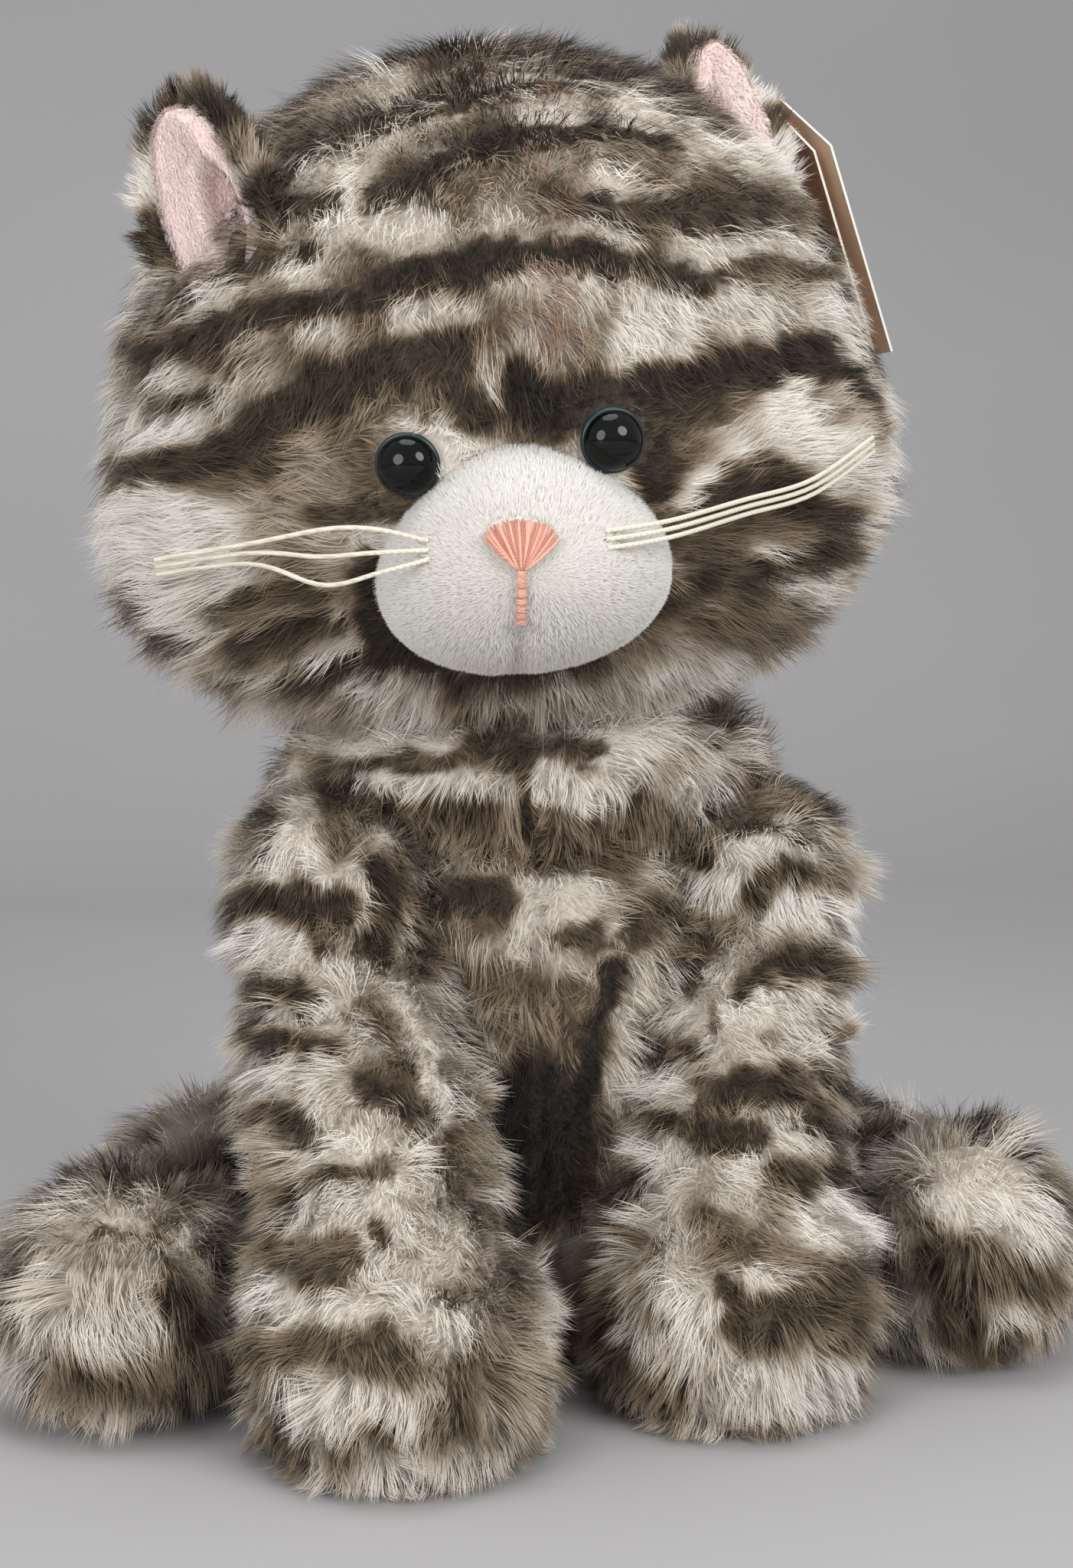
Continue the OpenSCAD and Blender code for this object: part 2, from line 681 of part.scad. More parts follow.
// Whisker cords: hand-laid points in the head's frame, from the muzzle to the free end
whisker_sink = 1.2;
left_upper_route = [muzzle_point(-17, 9, whisker_sink),
    [-26, -82, -9], [-35, -79, -8.5], [-50, -72, -11], [-69, -60, -14.5]];
left_middle_route = [muzzle_point(-17, 7.6, whisker_sink),
    [-27, -83, -13], [-37, -79, -13.4], [-50, -72, -12.7], [-69, -60, -15.9]];
left_lower_route = [muzzle_point(-17, 6.2, whisker_sink),
    [-26, -84, -16.5], [-37, -80, -18.5], [-50, -72, -14.8], [-69, -60, -17.3]];
right_upper_route = [muzzle_point(15, 7.6, whisker_sink),
    [27, -82, -14], [42, -70, -14.6], [57, -58, -15], [72, -42, -11.6]];
right_middle_route = [muzzle_point(15, 6.2, whisker_sink),
    [27, -82.5, -15.4], [42, -70, -16], [57, -58, -16.4], [72, -42, -13]];
right_lower_route = [muzzle_point(15, 4.8, whisker_sink),
    [27, -83, -16.8], [42, -70, -17.4], [57, -58, -17.8], [72, -42, -14.4]];
whisker_steps = 3;
function curve(p, i, t) =
    let (a = p[max(0, i - 1)], b = p[i], c = p[i + 1], d = p[min(len(p) - 1, i + 2)])
    0.5 * (2 * b + (c - a) * t + (2 * a - 5 * b + 4 * c - d) * t * t + (3 * b - a - 3 * c + d) * t * t * t);
function route(p) = concat(
    [for (i = [0:len(p) - 2], k = [0:whisker_steps - 1]) curve(p, i, k / whisker_steps)],
    [p[len(p) - 1]]);
module whisker(points) {
    p = route(points);
    last = len(p) - 1;
    color(cord_colour) in_head() skin([for (i = [0:last])
        hoop(p[i], unit(p[min(last, i + 1)] - p[max(0, i - 1)]), whisker_d / 2, 8)]);
}
module left_whisker_upper() whisker(left_upper_route);
module left_whisker_middle() whisker(left_middle_route);
module left_whisker_lower() whisker(left_lower_route);
module right_whisker_upper() whisker(right_upper_route);
module right_whisker_middle() whisker(right_middle_route);
module right_whisker_lower() whisker(right_lower_route);

module ear(side) {
    color(dark_fur_colour) difference() {
        at_ear(side) ear_layer(ear_cup_r + ear_t / 2, ear_cup_r - ear_t / 2, 0);
        head_under_ear(side, move_gap);
    }
}
module ear_lining(side) {
    color(pink_colour) difference() {
        at_ear(side) ear_layer(ear_cup_r - ear_t / 2 - sewn_gap,
            ear_cup_r - ear_t / 2 - sewn_gap - ear_lining_t, ear_border);
        head_under_ear(side, move_gap);
    }
}
module left_ear() ear(left);
module right_ear() ear(right);
module left_ear_lining() ear_lining(left);
module right_ear_lining() ear_lining(right);

// Hang tag: two leaves on a fold at the back, hung from a pin in the seam behind the right ear.
// Its frame has X from the fold to the open edge, Z up and Y away from the head.
tag_turn = -80;
tag_lean = 20;
tag_axis = rz(rx([0, 1, 0], tag_lean), tag_turn);
tag_seam_x = head_w * 0.29;
tag_seam_z = head_h * 0.245;
tag_seam = on_head([tag_seam_x, -head_front(tag_seam_x, tag_seam_z), tag_seam_z]);
tag_pin = tag_seam + tag_out * tag_axis;
module at_tag() {
    translate(tag_pin) rotate([0, 0, tag_turn]) rotate([tag_lean, 0, 0]) children();
}
function tag_world(p) = tag_pin + rz(rx(p, tag_lean), tag_turn);
tag_fold = tag_world([-tag_w / 2, tag_t, 0]);
tag_fold_axis = rz(rx([0, 0, 1], tag_lean), tag_turn);
module tag_outline(fold_gap) {
    polygon([
        [-tag_w / 2 + fold_gap, tag_hole_low - tag_l],
        [tag_w / 2, tag_hole_low - tag_l],
        [tag_w / 2, tag_hole_low - tag_corner],
        [tag_w / 2 - tag_corner, tag_hole_low],
        [tag_corner - tag_w / 2, tag_hole_low],
        [-tag_w / 2 + fold_gap, tag_hole_low - tag_corner + fold_gap]]);
}
module fastener_hole(g) {
    rotate([90, 0, 0]) cylinder(r = fastener_r + g, h = 2 * tag_out + 3 * pile_t, center = true);
}
module tag_leaf(fold_gap) {
    difference() {
        rotate([90, 0, 0]) translate([0, 0, -tag_t]) linear_extrude(tag_t) tag_outline(fold_gap);
        children();
    }
}
module tag_cover_leaf() {
    color(kraft_colour) at_tag() tag_leaf(tag_t) fastener_hole(fastener_gap);
}
leaf_hole_r = 3.2;
module tag_back_leaf() {
    color(cream_colour) at_tag() translate([-tag_w / 2, tag_t, 0]) rotate([0, 0, tag_open])
        translate([tag_w / 2, move_gap / 2, 0]) tag_leaf(0)
            rotate([90, 0, 0]) cylinder(r = leaf_hole_r, h = tag_w / 2, center = true);
}
fastener_head_r = 1.7;
fastener_head_t = 0.6;
fastener_in = tag_out + pile_t * 0.6;
module tag_fastener() {
    color([0.95, 0.95, 0.95]) at_tag() rotate([-90, 0, 0]) {
        translate([0, 0, -fastener_in]) cylinder(r = fastener_r, h = fastener_in + tag_t + fastener_gap);
        translate([0, 0, tag_t + fastener_gap]) cylinder(r = fastener_head_r, h = fastener_head_t);
        translate([0, 0, -fastener_gap - fastener_head_t]) cylinder(r = fastener_head_r, h = fastener_head_t);
    }
}

module front_leg(side) {
    color(fur_colour) difference() {
        leg_form(side, 0);
        leg_form(side, -pile_t);
        body_beside_leg(side);
    }
}
module front_leg_stuffing(side) {
    color(fibre_colour) difference() {
        leg_form(side, -stuffing_in);
        body_beside_leg(side);
    }
}
module left_front_leg() front_leg(left);
module right_front_leg() front_leg(right);
module left_front_leg_stuffing() front_leg_stuffing(left);
module right_front_leg_stuffing() front_leg_stuffing(right);

module hind_leg(side) {
    color(fur_colour) difference() {
        hind_leg_form(side, 0);
        hind_leg_form(side, -pile_t);
        body_beside_hind_leg(side);
    }
}
module hind_leg_stuffing(side) {
    color(fibre_colour) difference() {
        hind_leg_form(side, -stuffing_in);
        body_beside_hind_leg(side);
    }
}
module left_hind_leg() hind_leg(left);
module right_hind_leg() hind_leg(right);
module left_hind_leg_stuffing() hind_leg_stuffing(left);
module right_hind_leg_stuffing() hind_leg_stuffing(right);

module tail() {
    color(fur_colour) difference() {
        tail_form(0);
        tail_form(-pile_t);
    }
}
module tail_stuffing() {
    color(fibre_colour) tail_form(-stuffing_in);
}

// Places, directions and reach of the joints
echo(leg_swing = leg_swing, hind_in = hind_in, hind_out = hind_out, tail_swing = tail_swing);
echo(ear_fold = [-ear_fold_back, ear_fold_forward], tag_swing = tag_swing, leaf_swing = tag_leaf_swing);
echo(neck = neck, left_ear = ear_pivot(left), left_ear_axis = ear_hinge(left));
echo(right_ear = ear_pivot(right), right_ear_axis = ear_hinge(right));
echo(tag_pin = tag_pin, tag_axis = tag_axis, tag_fold = tag_fold, tag_fold_axis = tag_fold_axis);
echo(left_shoulder = shoulder(left), right_shoulder = shoulder(right));
echo(left_hip = hip(left), right_hip = hip(right), tail_root = tail_root);

body_cover();
body_stuffing();
pellet_pouch();
pellets();
back_stitches();
neck_stuffing();
neck_thread();
head_cover();
head_stuffing();
muzzle_cover();
muzzle_stuffing();
left_eye();
right_eye();
left_eye_washer();
right_eye_washer();
nose_embroidery();
mouth_stitches();
left_whisker_upper();
left_whisker_middle();
left_whisker_lower();
right_whisker_upper();
right_whisker_middle();
right_whisker_lower();
left_ear();
left_ear_lining();
right_ear();
right_ear_lining();
tag_cover_leaf();
tag_back_leaf();
tag_fastener();
left_front_leg();
left_front_leg_stuffing();
right_front_leg();
right_front_leg_stuffing();
left_hind_leg();
left_hind_leg_stuffing();
right_hind_leg();
right_hind_leg_stuffing();
tail();
tail_stuffing();
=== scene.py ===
import math

import bpy
import numpy as np
from mathutils.bvhtree import BVHTree
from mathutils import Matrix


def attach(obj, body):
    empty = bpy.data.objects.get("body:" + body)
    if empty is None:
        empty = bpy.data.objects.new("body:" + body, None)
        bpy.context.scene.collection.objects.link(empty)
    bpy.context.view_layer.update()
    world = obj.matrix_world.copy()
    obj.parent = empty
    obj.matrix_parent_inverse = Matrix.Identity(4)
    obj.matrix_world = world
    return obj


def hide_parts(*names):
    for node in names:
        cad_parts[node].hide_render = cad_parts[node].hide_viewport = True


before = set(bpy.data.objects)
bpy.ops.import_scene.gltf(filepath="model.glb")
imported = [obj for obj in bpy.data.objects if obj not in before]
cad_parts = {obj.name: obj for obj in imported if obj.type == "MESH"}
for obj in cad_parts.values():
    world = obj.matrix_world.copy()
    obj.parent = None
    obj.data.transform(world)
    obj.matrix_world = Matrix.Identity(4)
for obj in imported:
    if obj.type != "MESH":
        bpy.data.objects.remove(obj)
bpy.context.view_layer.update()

# Body
# The body is a pear-shaped bag of long-pile tabby fabric. Its panels are sewn inside out with a seam
# down the chest, turned, stuffed with fibre through a gap in the back and closed there by hand.
body_high = 136.0
body_wide = 126.0
body_deep = 106.0
body_taper = 0.15
body_full = 3.0
body_press = 14.0
body_back = 12.0
body_stripe = 30.0
body_strands = 64000
body_pile_long = 10.5
chest_seam_half = 3.2
chest_seam_deep = 3.4
pile_deep = 4.5
sole_high = 4.0
floor_gap = 0.4
darkest, frosted, whitest = 0.016, 0.62, 0.79
tan_low, tan_span = 0.84, 0.14
down = np.array([0.0, 0.0, -1.0])
rng = np.random.default_rng(11)


def unit(v):
    return v / np.maximum(np.linalg.norm(v, axis=-1, keepdims=True), 1e-9)


def ease(low, high, x):
    """Smoothly from 0 at the first value to 1 at the second."""
    t = np.clip((x - low) / (high - low), 0.0, 1.0)
    return t * t * (3 - 2 * t)


def full_turn(sides):
    return np.linspace(0, 2 * math.pi, sides, endpoint=False)


def swell(u, taper, full):
    """Half width of a stuffed bag at u, from -1 at its bottom to 1 at its top."""
    return np.sqrt(np.maximum(0, 1 - np.abs(u) ** full)) * (1 - taper * u)


def speckle(points, size, seed):
    """Smooth noise from 0 to 1 that changes over about that many millimetres."""
    q = points / size + seed * 7.31
    cell = np.floor(q).astype(np.int64)
    f = q - cell
    f = f * f * (3 - 2 * f)
    total = np.zeros(len(points))
    for corner in np.ndindex(2, 2, 2):
        k = cell + np.array(corner)
        h = k[:, 0] * 374761393 + k[:, 1] * 668265263 + k[:, 2] * 1442695041 + seed * 1274126177
        h = (h ^ (h >> 13)) * 1274126177
        h = (h ^ (h >> 16)) & 0xFFFF
        share = np.where(np.array(corner) == 1, f, 1 - f).prod(axis=1)
        total += share * h / 65535.0
    return total


def drift(points, size, seed):
    """Smooth noise in three directions, each from 0 to 1."""
    return np.stack([speckle(points, size, seed + k) for k in range(3)], 1)


def form(rings):
    """Points, quads and triangles of a closed form that is drawn together at both ends."""
    m, n = rings.shape[:2]
    points = np.concatenate([rings.reshape(-1, 3), rings[:1].mean(1), rings[-1:].mean(1)])
    i, j = np.meshgrid(np.arange(m - 1), np.arange(n), indexing="ij")
    a, b = i * n + j, i * n + (j + 1) % n
    quads = np.stack([a, b, b + n, a + n], -1).reshape(-1, 4)
    k = np.arange(n)
    low = np.stack([np.full(n, m * n), (k + 1) % n, k], -1)
    high = np.stack([np.full(n, m * n + 1), (m - 1) * n + k, (m - 1) * n + (k + 1) % n], -1)
    return points, quads, np.concatenate([low, high])


def form_normals(points, quads, tris):
    """A form as triangles, the normals at its points and the triangles' areas."""
    faces = np.concatenate([quads[:, :3], quads[:, [0, 2, 3]], tris])
    a, b, c = points[faces[:, 0]], points[faces[:, 1]], points[faces[:, 2]]
    cross = np.cross(b - a, c - a)
    normals = np.zeros_like(points)
    for k in range(3):
        np.add.at(normals, faces[:, k], cross)
    return faces, unit(normals), np.linalg.norm(cross, axis=1) / 2


def sunk(shape, deep):
    """A form moved in along its normals."""
    return shape[0] - deep * form_normals(*shape)[1], shape[1], shape[2]


def drawn_in(shape):
    """A form's backing, which lies under its pile, and half as deep where the pile is stood on."""
    facing_up = form_normals(*shape)[1][:, 2:]
    return sunk(shape, pile_deep * (0.5 + 0.5 * ease(-0.9, -0.3, facing_up)))


def mesh_piece(name, points, faces_by_size, material):
    """A mesh in metres from points in millimetres and arrays of faces with the same number of corners."""
    mesh = bpy.data.meshes.new(name)
    mesh.vertices.add(len(points))
    mesh.vertices.foreach_set("co", (points * 0.001).astype(np.float32).ravel())
    corners = np.concatenate([f.ravel() for f in faces_by_size])
    sizes = np.concatenate([np.full(len(f), f.shape[1]) for f in faces_by_size])
    mesh.loops.add(len(corners))
    mesh.loops.foreach_set("vertex_index", corners.astype(np.int32))
    mesh.polygons.add(len(sizes))
    mesh.polygons.foreach_set("loop_start", (np.cumsum(sizes) - sizes).astype(np.int32))
    mesh.polygons.foreach_set("use_smooth", np.ones(len(sizes), bool))
    mesh.update(calc_edges=True)
    mesh.validate()
    mesh.materials.append(material)
    piece = bpy.data.objects.new(name, mesh)
    bpy.context.scene.collection.objects.link(piece)
    return piece


def belongs(piece, body, slot, *nodes):
    """Ties a piece to the body that it moves with and hides the solids that it stands for; the slot is not
    used.
    """
    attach(piece, body)
    if nodes:
        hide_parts(*nodes)


def paint(r, g, b):
    """A colour as seen, 0 to 255, in the renderer's own linear values."""
    c = np.array([r, g, b]) / 255.0
    c = np.where(c <= 0.04045, c / 12.92, ((c + 0.055) / 1.055) ** 2.4)
    return (float(c[0]), float(c[1]), float(c[2]), 1.0)


def new_finish(name):
    material = bpy.data.materials.new(name)
    material.use_nodes = True
    return material


def set_sockets(material, node, sockets):
    """Each socket takes a value, or the output of another node."""
    for name, value in sockets.items():
        if isinstance(value, bpy.types.NodeSocket):
            material.node_tree.links.new(value, node.inputs[name])
        else:
            node.inputs[name].default_value = value


def dress(material, sockets):
    set_sockets(material, material.node_tree.nodes["Principled BSDF"], sockets)


def wire(material, kind, sockets, **settings):
    """A shader node with its settings and sockets."""
    node = material.node_tree.nodes.new("ShaderNode" + kind)
    for name, value in settings.items():
        setattr(node, name, value)
    set_sockets(material, node, sockets)
    return node


def ramp(material, level, stops):
    """Colours that follow a level from 0 to 1."""
    node = wire(material, "ValToRGB", {"Fac": level})
    elements = node.color_ramp.elements
    while len(elements) < len(stops):
        elements.new(0.5)
    for element, (at, colour) in zip(elements, stops):
        element.position = at
        element.color = colour
    return node.outputs["Color"]


def step(material, level, low, high):
    """Black below a level and white above it, with a soft step between."""
    return ramp(material, level, [(low, (0, 0, 0, 1)), (high, (1, 1, 1, 1))])


def place(material):
    return wire(material, "TexCoord", {}).outputs["Object"]


def uneven(material, scale, detail, distortion=0.0):
    """Noise over a piece, from 0 to 1."""
    return wire(material, "TexNoise", {"Vector": place(material), "Scale": scale, "Detail": detail,
                                       "Distortion": distortion}).outputs["Fac"]


def dye_level(material):
    """The dye that is kept at a piece's points."""
    return wire(material, "Attribute", {}, attribute_name="dye").outputs["Fac"]


def blend(material, factor, a, b):
    return wire(material, "Mix", {"Factor": factor, "A": a, "B": b}, data_type="RGBA").outputs["Result"]


def bump(material, height, strength, deep):
    sockets = {"Height": height, "Strength": strength, "Distance": deep}
    return wire(material, "Bump", sockets).outputs["Normal"]


def pile_finish(name, tips, roots, sheen):
    """Dyed pile: across u the dye runs from dark to light, and along v from a strand's root to its tip."""
    material = new_finish(name)
    palette = wire(material, "UVMap", {}, uv_map="OFBake").outputs["UV"]
    split = wire(material, "SeparateXYZ", {"Vector": palette}).outputs
    along = step(material, split["Y"], 0.1, 0.75)
    colour = blend(material, along, ramp(material, split["X"], roots), ramp(material, split["X"], tips))
    dress(material, {"Roughness": 0.72, "Specular IOR Level": 0.25, "Sheen Weight": sheen,
                     "Sheen Roughness": 0.5, "Base Color": colour})
    return material


# From black through brown and grey to white, and above 0.8 a tan dye. The black end also serves the painted
# shade in the gap between the front legs
tabby_pile = pile_finish(
    "tabby_pile",
    [(0.0, paint(14, 11, 9)), (0.05, paint(40, 32, 24)), (0.2, paint(76, 61, 44)),
     (0.4, paint(156, 137, 113)), (0.58, paint(216, 204, 189)), (0.8, paint(250, 245, 237)),
     (0.83, paint(120, 90, 70)), (1.0, paint(190, 156, 130))],
    [(0.0, paint(9, 7, 6)), (0.05, paint(26, 21, 16)), (0.2, paint(52, 41, 30)),
     (0.4, paint(118, 101, 81)), (0.58, paint(186, 172, 156)), (0.8, paint(234, 226, 215)),
     (0.83, paint(86, 64, 50)), (1.0, paint(146, 116, 96))], 0.15)


def backing_finish(name, stops):
    """The knitted backing under the pile, dyed with it, and its dense underfur that shows at partings."""
    material = new_finish(name)
    knit = uneven(material, 900, 4)
    level = wire(material, "Math", {0: knit, 1: 0.3, 2: dye_level(material)}, operation="MULTIPLY_ADD")
    dress(material, {"Roughness": 0.9, "Base Color": ramp(material, level.outputs["Value"], stops),
                     "Normal": bump(material, knit, 0.6, 0.0006)})
    return material


tabby_backing = backing_finish("tabby_backing", [(0.1, paint(22, 18, 14)), (0.5, paint(112, 96, 78)),
                                                 (0.95, paint(226, 217, 205))])


def keep_dye(piece, tone):
    """Keeps the tone of the dye at a piece's points."""
    layer = piece.data.attributes.new("dye", "FLOAT", "POINT")
    layer.data.foreach_set("value", np.broadcast_to(tone, len(layer.data)).astype(np.float32))


def stuffed(name, shape, body, nodes, tone, material=tabby_backing, slot="tabby_pile"):
    """A stuffed fabric form that stands for a cover and the fibre in it, with the dye of its backing."""
    piece = mesh_piece(name, shape[0], shape[1:], material)
    if callable(tone):
        normals = form_normals(*shape)[1]
        tone = tone(shape[0] + pile_deep * normals, normals)
    keep_dye(piece, tone)
    belongs(piece, body, slot, *nodes)


def scatter(shape, count, weight):
    """Roots and normals spread over a form, denser where its weight is higher."""
    faces, normals, area = form_normals(*shape)
    share = area * weight(shape[0][faces].mean(1))
    pick = rng.choice(len(faces), count, p=share / share.sum())
    r = np.sqrt(rng.random(count))
    s = rng.random(count)
    bary = np.stack([1 - r, r * (1 - s), r * s], 1)[:, :, None]
    chosen = faces[pick]
    return (shape[0][chosen] * bary).sum(1), unit((normals[chosen] * bary).sum(1))


def thin_sole(share):
    """A weight for pile that is sparser where the toy stands on it."""
    return lambda p: np.where(p[:, 2] < sole_high, share, 1.0)


def tangent(direction, normals):
    return unit(direction - (direction * normals).sum(1, keepdims=True) * normals)


def tufts(points, size, seed):
    """The number of the tuft that each strand is in."""
    cell = np.floor(points / size + drift(points, size * 2.3, seed) * 1.7).astype(np.int64)
    key = cell[:, 0] * 73856093 ^ cell[:, 1] * 19349663 ^ cell[:, 2] * 83492791
    return np.unique(key, return_inverse=True)[1]


def pile(name, body, root, normal, comb, length, lean, tone, width=0.16, gather=0.45, tuft_size=4.6,
         stray=0.22, sway=0.4, frost=0.4, tan=None, deep=pile_deep, material=tabby_pile, slot="tabby_pile"):
    """Pile strands as tapered blades: each stands up from its root, bends over along the comb
    direction, and is gathered with its neighbours into a tuft. Lean is in degrees at the tip. The dye
    is laid on the finished pile, so a strand changes tone where a stroke crosses it."""
    n = len(root)
    group = tufts(root, tuft_size, int(rng.integers(1000)))
    turn = rng.normal(0, 1, (group.max() + 1, 3))[group]
    way = tangent(comb + sway * turn + stray * rng.normal(0, 1, (n, 3)), normal)
    rise = np.radians(lean + 9 * rng.normal(0, 1, n) + 20 * sway * turn[:, 0])[:, None]
    length = (length * rng.uniform(0.72, 1.12, n) * (1 + 0.4 * sway * turn[:, 1]))[:, None]
    middle = root + (normal * np.cos(rise * 0.5) + way * np.sin(rise * 0.5)) * length * 0.5
    tip = middle + (normal * np.cos(rise) + way * np.sin(rise)) * length * 0.5

    lock = tufts(root, tuft_size * 0.6, int(rng.integers(1000)))
    total = np.zeros((lock.max() + 1, 6))
    np.add.at(total, lock, np.concatenate([tip, middle], 1))
    drawn = total[lock] / np.bincount(lock)[lock][:, None]
    pull = np.minimum(gather * rng.uniform(0.4, 1.3, (n, 1)), 0.95)
    tip = tip + (drawn[:, :3] - tip) * pull
    middle = middle + (drawn[:, 3:] - middle) * pull * 0.45
    pressed = floor_gap + 1.1 * speckle(root, 1.3, 7)
    for p, low in ((middle, pressed + 0.2), (tip, pressed)):
        p[:, 2] = np.maximum(p[:, 2], low)

    along = unit(tip - root)
    side = unit(np.cross(along, normal) + 1e-6)
    twist = rng.normal(0, 0.3, (n, 1))
    side = unit(side * np.cos(twist) + np.cross(along, side) * np.sin(twist))
    half = (width * rng.uniform(0.7, 1.25, (n, 1))) / 2
    blade = np.stack([root - side * half, root + side * half, middle + side * half * 0.9,
                      middle - side * half * 0.9, tip], 1)
    quad, point = np.array([0, 1, 2, 3]), np.array([3, 2, 4])
    start = np.arange(n)[:, None] * 5
    piece = mesh_piece(name, blade.reshape(-1, 3), [start + quad, start + point], material)
    shade = unit(0.9 * normal + 0.28 * np.cross(side, along) + 0.09 * rng.normal(0, 1, (n, 3)))
    piece.data.normals_split_custom_set_from_vertices(np.repeat(shade, 5, axis=0).astype(np.float32))

    own = rng.normal(0, 0.025, n) + 0.1 * (rng.random(n) < 0.05)
    if callable(tone):
        spots = [p + (deep - ((p - root) * normal).sum(1, keepdims=True)) * normal
                 for p in (root, middle, tip)]
        low, mid, top = (np.clip(tone(p, normal) + own, darkest, whitest) for p in spots)
        pale = 0.1 + frost * rng.random(group.max() + 1)[group] ** 2
        pale = pale * ease(0.6, 0.3, top) * ease(0.02, 0.1, top)
        top = top + pale * (frosted - top)
        mid = mid + 0.4 * pale * (frosted - mid)
        if tan:
            tanned = np.flatnonzero(rng.random(n) < tan(spots[1]))
            low[tanned] = mid[tanned] = top[tanned] = tan_low + tan_span * rng.random(len(tanned))
    else:
        low = mid = top = np.clip(tone, darkest, 0.98)
    hair = 0.004
    uv = np.stack([np.stack([low - hair, low + hair, mid + hair, mid - hair, top], 1),
                   np.tile([0.02, 0.02, 0.5, 0.5, 0.98], (n, 1))], 2)
    layer = piece.data.uv_layers.new(name="OFBake")
    corners = np.concatenate([uv[:, quad].reshape(-1, 2), uv[:, point].reshape(-1, 2)])
    layer.uv.foreach_set("vector", corners.astype(np.float32).ravel())
    belongs(piece, body, slot)


def brush_on(places, tone, marks):
    """Lays dye along strokes, and painted shade where a stroke stands for shade. A stroke is half its width,
    its tone and the points that it passes.
    """
    for reach, value, line in marks:
        near = np.flatnonzero(((places > line.min(0) - 1.7 * reach) &
                               (places < line.max(0) + 1.7 * reach)).all(1))
        away = np.full(len(near), 1e9)
        for a, b in zip(line[:-1], line[1:]):
            way = b - a
            t = np.clip((places[near] - a) @ way / max(way @ way, 1e-9), 0, 1)[:, None]
            away = np.minimum(away, np.linalg.norm(places[near] - a - t * way, axis=1))
        tone[near] += (value - tone[near]) * ease(1.45 * reach, 0.75 * reach, away)
    return tone


def dye(places, normals, marks, bands, seed, plain=0.45):
    """Dye tone over a fabric, 0 dark to 0.8 white: strokes on the front, a few of them painted shade, broken
    soft bands elsewhere.
    """
    wide = drift(places, 22, seed) - 0.5
    fine = drift(places, 5, seed + 5) - 0.5
    grit = drift(places, 2.4, seed + 10) - 0.5
    patches = 1.1 * (speckle(places, 34, seed + 3) - 0.42)
    behind = 0.44 + 0.32 * np.tanh(3.0 * (bands(places + 13 * wide + 4 * fine) + patches))
    front = (len(marks) > 0) * ease(-0.1, 0.3, normals @ np.array([-0.2, -0.98, 0.0]))
    mottle = 0.42 * (ease(0.25, 0.75, speckle(places, 10, seed + 8)) - 0.5)
    mottle = mottle + 0.3 * (speckle(places, 4, seed + 9) - 0.5)
    return brush_on(places + 3.6 * fine + 2.2 * grit, behind + (plain + mottle - behind) * front, marks)


# The photograph's viewpoint, in millimetres, degrees and pixels
photo_from = np.array([-111.2, -510.4, 164.0])
photo_turn = -12.6
photo_dip = 4.7
photo_middle = np.array([701, 1024])
photo_high = 2048
lens_long = 36.56
sensor_high = 24.0
pixel = sensor_high / lens_long / photo_high


def sight_lines(pixels):
    """Directions from the viewpoint to places in the photograph."""
    turn, dip = math.radians(photo_turn), math.radians(photo_dip)
    right = np.array([math.cos(turn), math.sin(turn), 0.0])
    ahead = np.array([-math.sin(turn) * math.cos(dip), math.cos(turn) * math.cos(dip), -math.sin(dip)])
    x, y = ((pixels - photo_middle) * pixel).T[:, :, None]
    return unit(ahead + x * right - y * np.cross(right, ahead))


def carried(strokes, shape, home=lambda points: points):
    """Strokes picked on the photograph, carried on to a form along the lines of sight. A stroke is
    half its width, its tone and the x and y of its points, in pixels. A point beside the form goes to
    its edge."""
    skin = BVHTree.FromPolygons(shape[0].tolist(), shape[1].tolist() + shape[2].tolist())
    ahead = sight_lines(photo_middle[None])[0]
    marks = []
    for half, tone, *pixels in strokes:
        line = []
        for way in sight_lines(np.reshape(pixels, (-1, 2))):
            spot = skin.ray_cast(photo_from, way)[0]
            if spot is None:
                spot = shape[0].mean(0)
                for _ in range(8):
                    spot = skin.find_nearest(photo_from + way * (np.array(spot) - photo_from).dot(way))[0]
            line.append(spot)
        line = np.array(line)
        away = ((line - photo_from) @ ahead).mean()
        marks.append((half * away * pixel, tone, home(line)))
    return marks


def body_half(z):
    middle, half = (body_high - body_press) / 2, (body_high + body_press) / 2
    return swell((z - middle) / half, body_taper, body_full)


def body_middle_y(z):
    return body_back * (1 - z / body_high)


def body_inside(p):
    """Below 1 inside the body's form and above 1 outside it."""
    s = np.maximum(body_half(np.clip(p[:, 2], -0.5, body_high - 0.5)), 0.05)
    flat = np.hypot(p[:, 0] / (body_wide / 2), (p[:, 1] - body_middle_y(p[:, 2])) / (body_deep / 2)) / s
    return np.where(p[:, 2] > body_high, 2.0, flat)


def body_rings(count, sides):
    turn = full_turn(sides)
    base = np.array([0.25, 0.5, 0.75, 0.97])
    z = np.concatenate([0 * base, (body_high - 1) * np.sin(np.linspace(0.02, math.pi / 2, count))])
    s = body_half(z)
    s[:len(base)] *= base
    x = body_wide / 2 * s[:, None] * np.cos(turn)
    y = body_deep / 2 * s[:, None] * np.sin(turn) + body_middle_y(z)[:, None]
    seam = np.exp(-(x / chest_seam_half) ** 2) * (y < 0) * chest_seam_deep
    return np.stack([x, y + seam, np.broadcast_to(z[:, None], x.shape)], 2)


